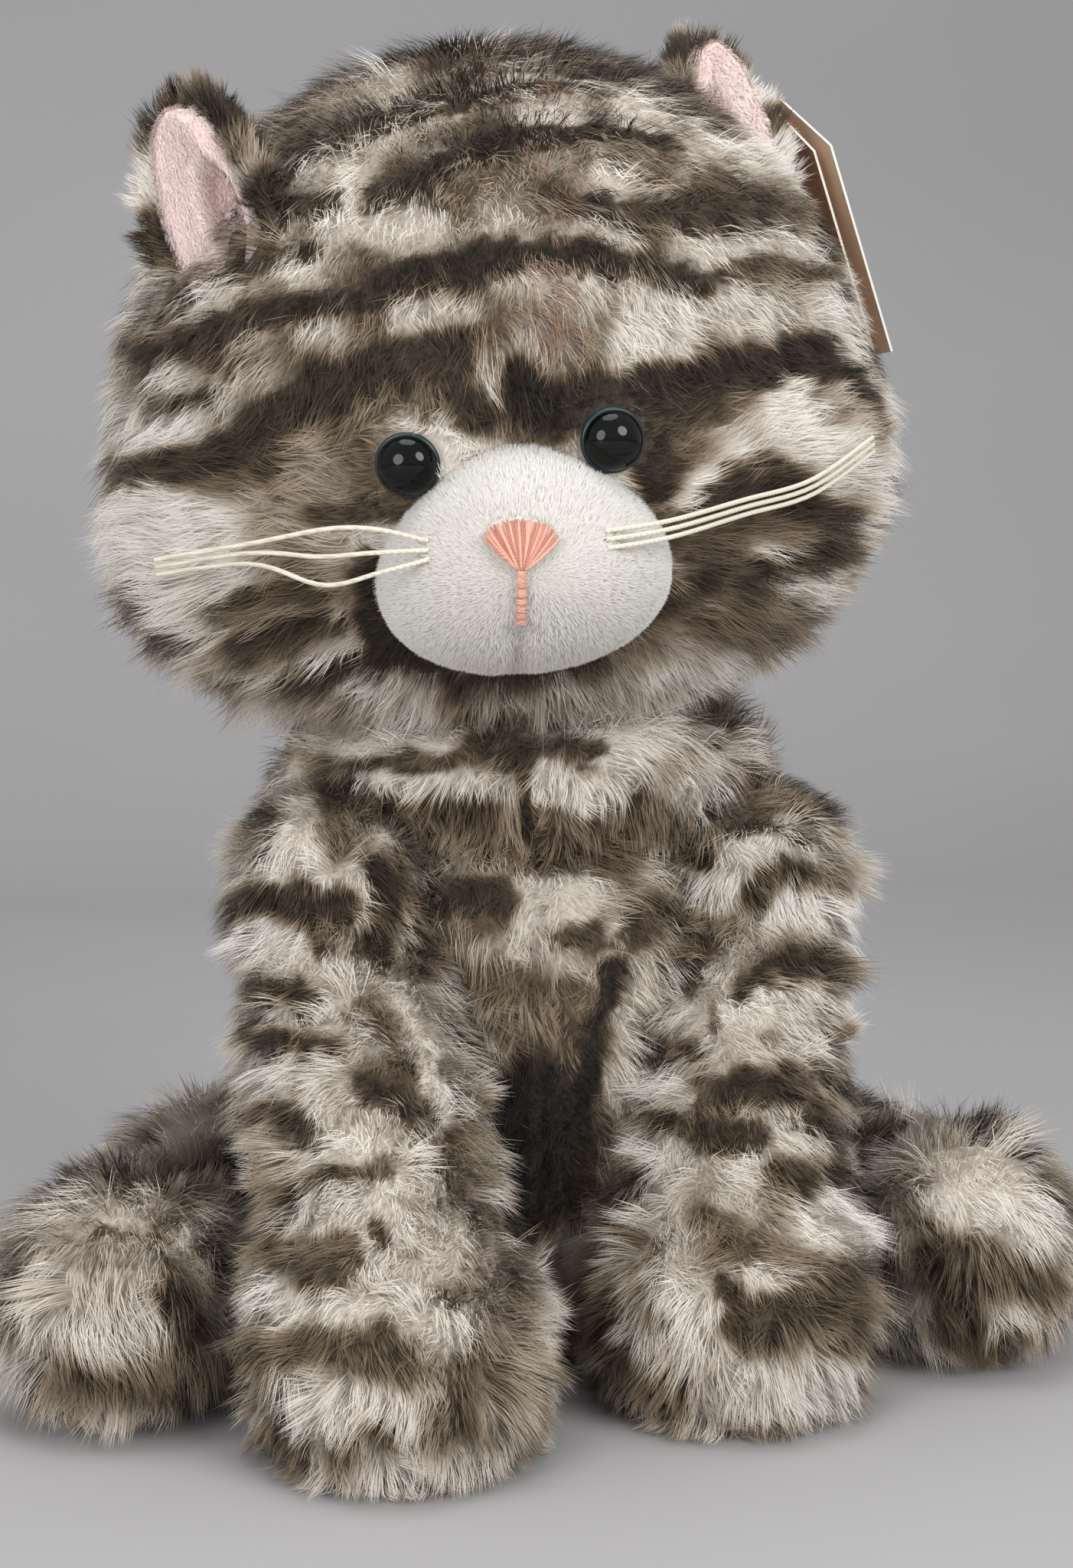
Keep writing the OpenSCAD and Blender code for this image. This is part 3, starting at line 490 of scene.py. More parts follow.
# Strokes on the chest: half width, tone and the x and y of each point, in the photograph's pixels
body_strokes = [
    (18, 0.69, 552, 1106, 652, 1119), (34, 0.69, 690, 1175, 771, 1162), (15, 0.52, 640, 1340, 690, 1350),
    (13, 0.5, 590, 1237, 646, 1237), (20, 0.34, 660, 1330, 700, 1380, 740, 1330),
    (18, 0.3, 740, 1290, 780, 1300), (32, 0.25, 490, 1085, 560, 1080, 640, 1090),
    (22, 0.25, 615, 1275, 677, 1287), (19, 0.2, 702, 1100, 759, 1106), (20, 0.18, 830, 1230, 870, 1180),
    (19, 0.15, 490, 1062, 552, 1069, 640, 1069), (17, 0.15, 752, 1212, 790, 1225),
    (29, 0.08, 552, 1162, 640, 1169), (15, 0.06, 870, 1110, 890, 1135),
    (7, 0.05, 697, 1110, 700, 1150, 707, 1239), (17, 0.05, 515, 1135, 550, 1200),
    # The three strokes at tone 0 are painted shade: the deep shadow in the gap between the front legs, under
    # the chest
    (19, 0, 585, 1300, 635, 1400, 665, 1480), (19, 0, 805, 1270, 780, 1380, 755, 1480),
    (61, 0, 705, 1440, 705, 1580),
]
body_form = form(body_rings(80, 140))
body_marks = carried(body_strokes, body_form)


def body_bands(p):
    return np.sin(2 * math.pi * (p[:, 2] + 0.18 * np.abs(p[:, 0])) / body_stripe)


def body_tone(places, normals):
    return dye(places, normals, body_marks, body_bands, seed=20)


def chest_parting(root):
    """Directions away from the seam down the chest, for the pile beside it."""
    near = np.exp(-(root[:, 0] / 12) ** 2) * (root[:, 1] < 0)
    return np.stack([np.sign(root[:, 0]) * near, 0 * near, 0 * near], 1)


body_shape = drawn_in(body_form)
stuffed("body_skin", body_shape, "body", ["body_cover", "body_stuffing"], tone=body_tone)
root, normal = scatter(body_shape, body_strands, thin_sole(0.3))
outward = (root - np.array([0, body_back, 0])) * np.array([1, 1, 0])
comb = tangent(down + 0.6 * chest_parting(root) + 0.02 * outward, normal)
length = body_pile_long * (0.55 + 0.45 * ease(2, 9, np.abs(root[:, 0]) + 20 * (root[:, 1] > 0)))
pile("body_pile", "body", root, normal, comb, length, lean=60.0, tone=body_tone, sway=0.55)


def thread_finish(name, dark, light, turns, roughness=0.45, own=False):
    """Twisted thread: fine slanting strands with a soft gloss, each stitch with its own tone if asked."""
    material = new_finish(name)
    strands = wire(material, "TexWave", {"Vector": place(material), "Scale": turns, "Distortion": 3,
                                         "Detail": 2}, bands_direction="DIAGONAL").outputs["Fac"]
    level = strands
    if own:
        both = wire(material, "Mix", {"Factor": 0.7, "A": strands, "B": dye_level(material)})
        level = both.outputs["Result"]
    dress(material, {"Roughness": roughness, "Sheen Weight": 0.3,
                     "Base Color": ramp(material, level, [(0.2, dark), (0.8, light)]),
                     "Normal": bump(material, strands, 0.5, 0.0002)})
    return material


def finish_node(name, material):
    """Gives a solid that shows as it is its finish."""
    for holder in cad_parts[name].material_slots:
        holder.material = material


finish_node("back_stitches", thread_finish("back_thread", paint(66, 54, 44), paint(118, 101, 84), 900))

# Pellet pouch
# A small round bag of plain white cloth sits low in the body, filled with plastic pellets so that the toy
# sits firmly, and gathered shut at its top.
pouch_wide = 42.0
pouch_high = 20.0
pouch_low = 5.6
pouch_sides = 72
pouch_gathers = 18
pellet_step = np.array([3.1, 2.7, 2.65])


def turned(radius, height, sides):
    """Rings of a form turned about the upright axis."""
    turn = full_turn(sides)
    radius, height = np.array(radius, float)[:, None], np.array(height, float)[:, None]
    return np.stack([radius * np.cos(turn), radius * np.sin(turn), height + 0 * turn], 2)


def cloth_finish(name, dark, light):
    """Plain woven cloth."""
    material = new_finish(name)
    threads = wire(material, "TexBrick", {"Vector": place(material), "Scale": 900, "Color1": light,
                                          "Color2": dark, "Mortar": dark}).outputs
    dress(material, {"Roughness": 0.85, "Base Color": threads["Color"],
                     "Normal": bump(material, threads["Fac"], 0.3, 0.0003)})
    return material


slope = np.radians(np.linspace(-80, 62, 18))
pouch_round = pouch_high / 2
pouch_rings = turned(pouch_wide / 2 - pouch_round + pouch_round * np.cos(slope),
                     pouch_round + pouch_round * np.sin(slope), pouch_sides)
tied_rings = turned([11.5, 6.5, 4.0, 3.4, 4.2], [19.6, 20.2, 20.6, 21.6, 23.0], pouch_sides)
pouch_rings = np.concatenate([pouch_rings, tied_rings])
folds = 0.07 * np.sin(pouch_gathers * full_turn(pouch_sides)) * ease(16, 20, pouch_rings[:, :1, 2])
pouch_rings[:, :, :2] *= (1 + folds)[:, :, None]
pouch_cloth = cloth_finish("pouch_cloth", paint(206, 202, 194), paint(236, 233, 226))
stuffed("pouch", form(pouch_rings + np.array([0, body_back, pouch_low])), "body", ["pellet_pouch"],
        tone=0.5, material=pouch_cloth, slot="plain_cloth")


def gathered(shapes):
    """Several forms in one mesh."""
    points, quads, tris, start = [], [], [], 0
    for p, q, t in shapes:
        points.append(p)
        quads.append(q + start)
        tris.append(t + start)
        start += len(p)
    return np.concatenate(points), np.concatenate(quads), np.concatenate(tris)


def plastic_finish(name, dark, light, roughness, grain, more={}):
    """Moulded plastic with slight mottling and handling marks, and more of the surface's sockets."""
    material = new_finish(name)
    level = uneven(material, grain, 3)
    limits = {"To Min": roughness * 0.8, "To Max": roughness * 1.3}
    rough = wire(material, "MapRange", {"Value": level, **limits}).outputs["Result"]
    dress(material, {"Roughness": rough, **more,
                     "Base Color": ramp(material, level, [(0.35, dark), (0.65, light)])})
    return material


bead = form(turned([0.62, 1.15, 1.3, 1.15, 0.62], [-1.0, -0.55, 0.0, 0.55, 1.0], 8))
spots = [np.array([x + 0.5 * (z % 2), y, z]) * pellet_step
         for z in range(6) for y in range(-7, 8) for x in range(-7, 8)]
spots = [s for s in spots if math.hypot(s[0], s[1]) < 17.0 - 0.06 * (s[2] - 7) ** 2]
spots = np.array(spots) + rng.uniform(-0.15, 0.15, (len(spots), 3)) + np.array([0, body_back, pouch_low + 3])
beads = gathered([(bead[0] + s, bead[1], bead[2]) for s in spots])
pellet_plastic = plastic_finish("pellet_plastic", paint(222, 214, 196), paint(240, 234, 220), 0.35, 300)
belongs(mesh_piece("pellet_beads", beads[0], beads[1:], pellet_plastic), "body", "pellet_plastic", "pellets")

# Neck
# The head turns on a short stuffed neck, laced with a waxed thread. A ruff of long pile round it closes
# the gap between the head and the shoulders.
ruff_strands = 46000
ruff_inner = 26.0
ruff_pile_long = 10.5
neck_strokes = [
    (42, 0.8, 390, 945, 470, 945, 560, 940), (39, 0.8, 790, 955, 870, 945),
    (18, 0.73, 459, 1019, 540, 1022, 615, 1031), (28, 0.73, 715, 1025, 802, 1050),
    (20, 0.63, 960, 980, 1000, 1000), (25, 0.3, 800, 1090, 860, 1060),
    # The stroke at tone 0.2 from 446 to 590 is painted shadow under the white bib
    (12, 0.2, 446, 994, 521, 994, 590, 994), (15, 0.2, 345, 1000, 350, 1050),
    (19, 0.15, 490, 1062, 552, 1069, 640, 1069), (17, 0.15, 935, 925, 950, 960),
    (20, 0.12, 702, 969, 740, 962, 790, 969), (29, 0.1, 640, 960, 670, 985),
    (7, 0.05, 686, 973, 690, 1060, 695, 1110),
]
# Centre x and y, height and the two half sizes of the ruff's rings
ruff_rows = [(0, 1, 104, 49, 36.5), (0, 0.5, 112, 54.5, 41), (0, 0, 120, 57, 43.5), (0, -1, 128, 56, 44),
             (0, -2, 135, 50.5, 41.5), (0, -2, 140.5, 41, 36.5), (0, -2, 144, 29, 27)]


def flowing(rows, count):
    """Evenly spaced rows along a smooth curve through the rows given."""
    rows = np.array(rows, float)
    at = np.linspace(0, len(rows) - 1.0001, count)
    i = at.astype(int)
    t = (at - i)[:, None]
    a, b = rows[np.maximum(i - 1, 0)], rows[i]
    c, d = rows[i + 1], rows[np.minimum(i + 2, len(rows) - 1)]
    return 0.5 * (2 * b + (c - a) * t + (2 * a - 5 * b + 4 * c - d) * t ** 2
                  + (3 * b - 3 * c + d - a) * t ** 3)


def ovals(rows, sides):
    """Level oval rings from rows of centre x, y, height and the two half sizes."""
    turn = full_turn(sides)
    x, y, z, w, d = (rows[:, k:k + 1] for k in range(5))
    return np.stack([x + w * np.cos(turn), y + d * np.sin(turn), z + 0 * turn], 2)


def ruff_tone(places, normals):
    return dye(places, normals, neck_marks, body_bands, seed=20)


def ruff_weight(p):
    return np.where(np.hypot(p[:, 0], p[:, 1]) > ruff_inner, 1.0, 0.02)


ruff_form = form(ovals(flowing(ruff_rows, 28), 120))
neck_marks = carried(neck_strokes, ruff_form)
ruff_shape = sunk(ruff_form, pile_deep)
stuffed("neck_ruff", ruff_shape, "neck", ["neck_stuffing"], tone=ruff_tone)
root, normal = scatter(ruff_shape, ruff_strands, ruff_weight)
comb = tangent(down + 0.6 * chest_parting(root), normal)
length = ruff_pile_long - 4.0 * ease(138, 116, root[:, 2])
pile("neck_ruff_pile", "neck", root, normal, comb, length, lean=60.0, tone=ruff_tone, sway=0.7)
finish_node("neck_thread", thread_finish("neck_thread", paint(180, 168, 148), paint(226, 216, 198), 700))

# Front legs
# Each front leg is a tube of the same long pile with a wide paw, stuffed hard and sewn to the shoulder so
# that it swings. The paw stands flat on the floor.
shoulder = np.array([45.09, -22.17, 104.0])
leg_radius = 23.0
paw_half = np.array([30.5, 33.0])
paw_high = 54.0
leg_stripe = 25.0
leg_strands = 60000
leg_pile_long = 9.5
leg_seam = 0.8
shaft_rows = 60


def leg_rows(side, reach, inward):
    """Rows of a leg's rings: the paw, the shaft up to the shoulder and its round top."""
    top = shoulder * np.array([side, 1, 1])
    paw = np.array([top[0] - side * inward, top[1] - reach])
    shaft = 1.14 * paw_high
    swelling = [(0, 0, 0.78), (0.12, 0, 0.93), (0.34, 0, 1), (0.62, 0.06, 0.94), (0.88, 0.2, 0.78)]
    rows = []
    for up, along, size in swelling:
        rows.append((*(paw + (top[:2] - paw) * along), up * paw_high, *(paw_half * size)))
    for t in (0, 0.5, 1):
        z = shaft + (top[2] - 0.3 * leg_radius - shaft) * t
        centre = paw + (top[:2] - paw) * (0.36 + 0.6 * t)
        rows.append((*centre, z, leg_radius * (1 - 0.03 * t), leg_radius))
    for a in np.radians([5, 30, 52, 70, 82]):
        rows.append((*top[:2], top[2] + leg_radius * math.sin(a), *([leg_radius * math.cos(a)] * 2)))
    rows = flowing(rows, 80)
    rows[:, 2] = np.maximum(rows[:, 2], 0)
    return rows


left_front_leg_strokes = [
    (39, 0.8, 365, 1090, 385, 1140), (28, 0.8, 290, 1244, 340, 1237, 371, 1244),
    (31, 0.8, 296, 1400, 346, 1419), (28, 0.8, 577, 1400, 602, 1431), (25, 0.8, 315, 1510, 330, 1540),
    (25, 0.79, 540, 1300, 565, 1350), (34, 0.77, 337, 1695, 400, 1726), (21, 0.75, 400, 1490, 474, 1484),
    (22, 0.7, 421, 1584, 526, 1584), (39, 0.7, 368, 1853, 474, 1842), (34, 0.69, 542, 1695, 595, 1737),
    (28, 0.66, 526, 1926, 600, 1926), (28, 0.65, 402, 1265, 490, 1285), (17, 0.63, 684, 1789, 690, 1830),
    (35, 0.42, 650, 1650, 690, 1800), (18, 0.3, 484, 1300, 509, 1337), (16, 0.25, 458, 1526, 505, 1516),
    (26, 0.25, 316, 1768, 400, 1758, 484, 1763), (16, 0.22, 358, 1621, 458, 1631),
    (16, 0.2, 505, 1737, 526, 1800), (16, 0.2, 484, 1874, 505, 1889), (20, 0.2, 600, 1520, 640, 1580),
    (19, 0.15, 290, 1462, 365, 1456, 396, 1481), (12, 0.15, 305, 1563, 363, 1563, 400, 1542, 447, 1510),
    (22, 0.12, 277, 1194, 334, 1175, 396, 1175, 446, 1181), (16, 0.12, 302, 1350, 365, 1362, 427, 1362),
    (19, 0.12, 477, 1400, 534, 1431), (19, 0.1, 290, 1300, 365, 1287, 396, 1300),
    (20, 0.08, 500, 1130, 510, 1175, 490, 1230), (13, 0.05, 484, 1600, 505, 1611),
]
right_front_leg_strokes = [
    (34, 0.8, 1021, 1187, 1115, 1212), (31, 0.8, 971, 1306, 1134, 1325),
    (18, 0.8, 1110, 1497, 1173, 1508), (42, 0.8, 1068, 1587, 1163, 1597),
    (21, 0.79, 977, 1106, 1071, 1106), (21, 0.77, 763, 1482, 858, 1508),
    (18, 0.77, 995, 1666, 1037, 1708), (25, 0.75, 902, 1162, 946, 1162), (18, 0.75, 800, 1418, 879, 1424),
    (28, 0.75, 858, 1687, 900, 1729), (28, 0.73, 815, 1306, 890, 1331), (39, 0.7, 974, 1808, 1089, 1824),
    (18, 0.67, 1016, 1487, 1079, 1492), (14, 0.65, 971, 1362, 1109, 1375),
    (25, 0.65, 816, 1576, 879, 1582), (21, 0.59, 1158, 1687, 1174, 1740),
    (22, 0.25, 910, 1582, 947, 1602), (32, 0.25, 805, 1797, 858, 1824),
    (35, 0.2, 974, 1729, 1100, 1697, 1131, 1718), (19, 0.15, 984, 1175, 1015, 1150, 1059, 1131),
    (16, 0.15, 790, 1381, 852, 1375, 902, 1362), (12, 0.12, 959, 1075, 1002, 1062, 1065, 1087),
    (22, 0.12, 850, 1200, 890, 1200), (15, 0.12, 821, 1269, 896, 1269), (15, 0.12, 784, 1460, 874, 1460),
    (15, 0.12, 1068, 1460, 1121, 1482), (13, 0.12, 1047, 1555, 1110, 1524, 1179, 1540),
    (15, 0.1, 965, 1281, 1015, 1256, 1071, 1262, 1127, 1287),
    (26, 0.1, 946, 1419, 1021, 1419, 1115, 1419), (19, 0.1, 910, 1476, 995, 1487),
    (16, 0.1, 937, 1671, 953, 1687), (15, 0.08, 870, 1110, 905, 1118),
]


def leg_bands(p):
    return np.sin(2 * math.pi * (p[:, 2] + 0.5 * p[:, 1] * ease(6, 1, p[:, 2])) / leg_stripe)


for side, name, reach, inward, strokes in ((-1, "left_front_leg", 48.0, 5.0, left_front_leg_strokes),
                                           (1, "right_front_leg", 34.0, 15.0, right_front_leg_strokes)):
    rows = leg_rows(side, reach, inward)
    shape = form(ovals(rows, 96))
    marks = carried(strokes, shape)
    shape = drawn_in(shape)

    def leg_tone(places, normals):
        return dye(places, normals, marks, leg_bands, seed=40 + side)

    stuffed(name + "_skin", shape, name, [name, name + "_stuffing"], tone=leg_tone)
    root, normal = scatter(shape, leg_strands, thin_sole(0.8))
    keep = body_inside(root) > leg_seam
    root, normal = root[keep], normal[keep]
    shaft = rows[:shaft_rows]
    axis = np.stack([np.interp(root[:, 2], shaft[:, 2], shaft[:, k]) for k in range(2)], 1)
    outward = unit(np.concatenate([root[:, :2] - axis, 0 * axis[:, :1]], 1))
    spread = 0.15 + 0.8 * ease(46, 16, root[:, 2])
    top = ease(0.3, 0.9, normal[:, 2])
    over_shoulder = 1.5 * top[:, None] * np.array([side, -0.8, 0.0])
    comb = tangent(down + spread[:, None] * outward + over_shoulder, normal)
    length = (leg_pile_long - 2.0 * ease(30, 4, root[:, 2])) * (1 - 0.35 * top)
    pile(name + "_pile", name, root, normal, comb, length, lean=56.0, tone=leg_tone, sway=0.6)

# Hind legs
# Each hind leg is a stuffed tube that lies on the floor with its round foot forward. It is sewn to the hip
# and splays outward.
hip = np.array([68.22, 23.33, 27.0])
hip_radius = 23.0
ankle_radius = 20.0
foot_radius = 25.0
foot_drop = 1.5
hind_long = 67.0
hind_stripe = 24.0
hind_strands = 36000
hind_pile_long = 11.5
hind_seam = 0.82


def hoops(rows, ways, sides):
    """Rings that stand across a way, from rows of centre x, y, z and radius."""
    turn = full_turn(sides)[None, :, None]
    across = unit(np.cross(-down, ways))[:, None, :]
    up = unit(np.cross(ways, across[:, 0]))[:, None, :]
    return rows[:, None, :3] + rows[:, None, 3:4] * (across * np.cos(turn) + up * np.sin(turn))


left_hind_leg_strokes = [
    (31, 0.75, 180, 1492, 245, 1468, 290, 1450), (24, 0.73, 79, 1579, 184, 1574),
    (20, 0.73, 225, 1455, 260, 1435), (22, 0.72, 32, 1726, 126, 1747), (36, 0.71, 190, 1505, 280, 1470),
    (20, 0.71, 235, 1602, 285, 1582), (22, 0.69, 110, 1520, 170, 1510), (31, 0.6, 60, 1700, 150, 1690),
    (22, 0.59, 200, 1562, 280, 1556), (21, 0.5, 79, 1626, 184, 1626), (15, 0.3, 170, 1532, 275, 1522),
    (23, 0.2, 105, 1805, 210, 1810), (19, 0.18, 53, 1542, 105, 1532, 200, 1526, 263, 1537),
    # The stroke at tone 0.12 from 232 to 263 is painted shadow on the side of the foot
    (15, 0.15, 200, 1480, 180, 1500), (29, 0.12, 232, 1695, 263, 1726),
]
right_hind_leg_strokes = [
    (34, 0.77, 1221, 1492, 1321, 1508), (45, 0.76, 1253, 1550, 1358, 1592),
    (20, 0.69, 1300, 1720, 1350, 1710), (15, 0.2, 1326, 1482, 1368, 1497),
    (22, 0.2, 1279, 1671, 1384, 1687), (32, 0.12, 1216, 1655, 1253, 1729),
    (15, 0.1, 1200, 1466, 1242, 1445, 1279, 1429),
]

for side, name, bearing, strokes in ((-1, "left_hind_leg", 19.0, left_hind_leg_strokes),
                                     (1, "right_hind_leg", 17.0, right_hind_leg_strokes)):
    start = hip * np.array([side, 1, 1])
    way = np.array([side * math.sin(math.radians(bearing)), -math.cos(math.radians(bearing)), 0])
    rows = [(-hip_radius * math.sin(a), hip_radius * math.cos(a), 0) for a in np.radians([80, 58, 34, 10])]
    rows += [(hind_long * 0.42, ankle_radius, 0.6)]
    rows += [(hind_long + foot_radius * math.sin(a), foot_radius * math.cos(a), 1)
             for a in np.radians([-38, -14, 12, 38, 60, 78])]
    rows = flowing([(*(start + s * way + k * foot_drop * down), r) for s, r, k in rows], 72)
    shape = form(hoops(rows, np.tile(way, (len(rows), 1)), 80))
    marks = carried(strokes, shape)
    shape = drawn_in(shape)

    def hind_bands(p):
        return np.sin(2 * math.pi * (p @ way) / hind_stripe) + 2.2 * ease(-11, -17, (p - start) @ way)

    def hind_tone(places, normals):
        return dye(places, normals, marks, hind_bands, seed=60 + side)

    stuffed(name + "_skin", shape, name, [name, name + "_stuffing"], tone=hind_tone)
    root, normal = scatter(shape, hind_strands, thin_sole(0.4))
    keep = body_inside(root) > hind_seam
    root, normal = root[keep], normal[keep]
    ahead = ease(0.2, 0.9, normal @ way)[:, None]
    comb = tangent(way * (1 - ahead) + 0.75 * down * (0.6 + ahead), normal)
    length = hind_pile_long - 4.0 * ease(14, 2, root[:, 2])
    pile(name + "_pile", name, root, normal, comb, length, lean=60.0, tone=hind_tone, sway=0.48)

# Tail
# The tail is a thin stuffed tube, ringed across, that curls along the floor behind the body from a sewn
# root.
tail_root = np.array([0.0, 68.02, 22.0])
tail_radius = 14.0
tail_low = 14.5
tail_curl_radius = 70.0
tail_curl = 95.0
tail_stripe = 24.0
tail_strands = 30000
tail_pile_long = 10.5
tail_seam = 0.86

angle = np.radians(np.linspace(0, tail_curl, 50))
rows = np.stack([tail_root[0] + tail_curl_radius * (1 - np.cos(angle)),
                 tail_root[1] + tail_curl_radius * np.sin(angle),
                 tail_root[2] + (tail_low - tail_root[2]) * ease(0, 50, np.degrees(angle)),
                 np.full(50, tail_radius)], 1)
ways = np.stack([np.sin(angle), np.cos(angle), 0 * angle], 1)
cap = np.radians([80, 62, 44, 26, 10])
for outward, at, order in ((-1, 0, cap), (1, -1, cap[::-1])):
    ends = np.stack([np.append(rows[at, :3] + outward * tail_radius * math.sin(a) * ways[at],
                               tail_radius * math.cos(a)) for a in order])
    many = np.tile(ways[at], (len(cap), 1))
    rows = np.concatenate([ends, rows] if outward < 0 else [rows, ends])
    ways = np.concatenate([many, ways] if outward < 0 else [ways, many])
tail_centre = tail_root[:2] + np.array([tail_curl_radius, 0])


def round_tail(p):
    """The angle of a place along the tail's curl."""
    return np.arctan2(p[:, 1] - tail_centre[1], tail_centre[0] - p[:, 0])


def tail_bands(p):
    return np.sin(2 * math.pi * round_tail(p) * tail_curl_radius / tail_stripe)


def tail_tone(places, normals):
    return dye(places, normals, [], tail_bands, seed=80)


tail_shape = drawn_in(form(hoops(rows, ways, 60)))
stuffed("tail_skin", tail_shape, "tail", ["tail", "tail_stuffing"], tone=tail_tone)
root, normal = scatter(tail_shape, tail_strands, thin_sole(0.4))
keep = body_inside(root) > tail_seam
root, normal = root[keep], normal[keep]
spin = round_tail(root)
comb = tangent(np.stack([np.sin(spin), np.cos(spin), 0 * spin - 0.25], 1), normal)
length = tail_pile_long - 4.0 * ease(8, 2, root[:, 2])
pile("tail_pile", "tail", root, normal, comb, length, lean=62.0, tone=tail_tone, sway=0.4)

# Head
# The head is a large round bag of tabby fabric, wider than deep and fuller at the cheeks. Its pile is
# sheared short on the brow and left long on the cheeks and under the chin.
head_half = np.array([82.0, 68.0, 71.5])
head_taper = 0.15
head_full = 2.4
head_middle = np.array([-8.35, -10.0, 205.99])
head_bow, head_lean, head_turn = 14.0, 7.0, 11.0
head_stripe = 27.0
head_front_strands = 66000
head_back_strands = 44000
head_pile_long = 8.2
eye_clear = 6.3
eye_x, eye_z = 19.0, -1.0


def about(axis, degrees):
    """A turn about x, y or z."""
    c, s = math.cos(math.radians(degrees)), math.sin(math.radians(degrees))
    return np.array({"x": [[1, 0, 0], [0, c, -s], [0, s, c]],
                     "y": [[c, 0, s], [0, 1, 0], [-s, 0, c]],
                     "z": [[c, -s, 0], [s, c, 0], [0, 0, 1]]}[axis])


head_set = about("z", -head_turn) @ about("y", -head_lean) @ about("x", head_bow)


def on_head(points):
    """Points of the head's own frame, with its face towards -y, in the toy's frame."""
    return head_middle + points @ head_set.T


def in_head(points):
    """Points of the toy's frame in the head's own frame."""
    return (points - head_middle) @ head_set


def head_share(z):
    return swell(np.clip(z / head_half[2], -1, 1), head_taper, head_full)


def head_front(x, z):
    return -head_half[1] * math.sqrt(max(0.0, float(head_share(z)) ** 2 - (x / head_half[0]) ** 2))


def head_inside(p):
    """Below 1 inside the head's form and above 1 outside it."""
    s = np.maximum(head_share(p[:, 2]), 0.03)
    return np.hypot(p[:, 0] / head_half[0], p[:, 1] / head_half[1]) / s


def head_rings(count, sides):
    turn = full_turn(sides)
    u = np.sin(np.linspace(-0.995, 0.995, count) * math.pi / 2)
    s = swell(u, head_taper, head_full)[:, None]
    return np.stack([head_half[0] * s * np.cos(turn), head_half[1] * s * np.sin(turn),
                     head_half[2] * u[:, None] + 0 * turn], 2)


def placed(shape, move):
    return move(shape[0]), shape[1], shape[2]


# The muzzle's outline on the face, 1 at its edge
muzzle_half = np.array([28.0, 22.0])
muzzle_low = 21.5
muzzle_taper = 0.2


def muzzle_edge(x, z):
    q = (z + muzzle_low) / muzzle_half[1]
    s = np.ones_like(q)
    for _ in range(4):
        s = np.maximum(np.hypot(x / muzzle_half[0] / (1 - muzzle_taper * np.clip(q / s, -1, 1)), q), 1e-3)
    return s


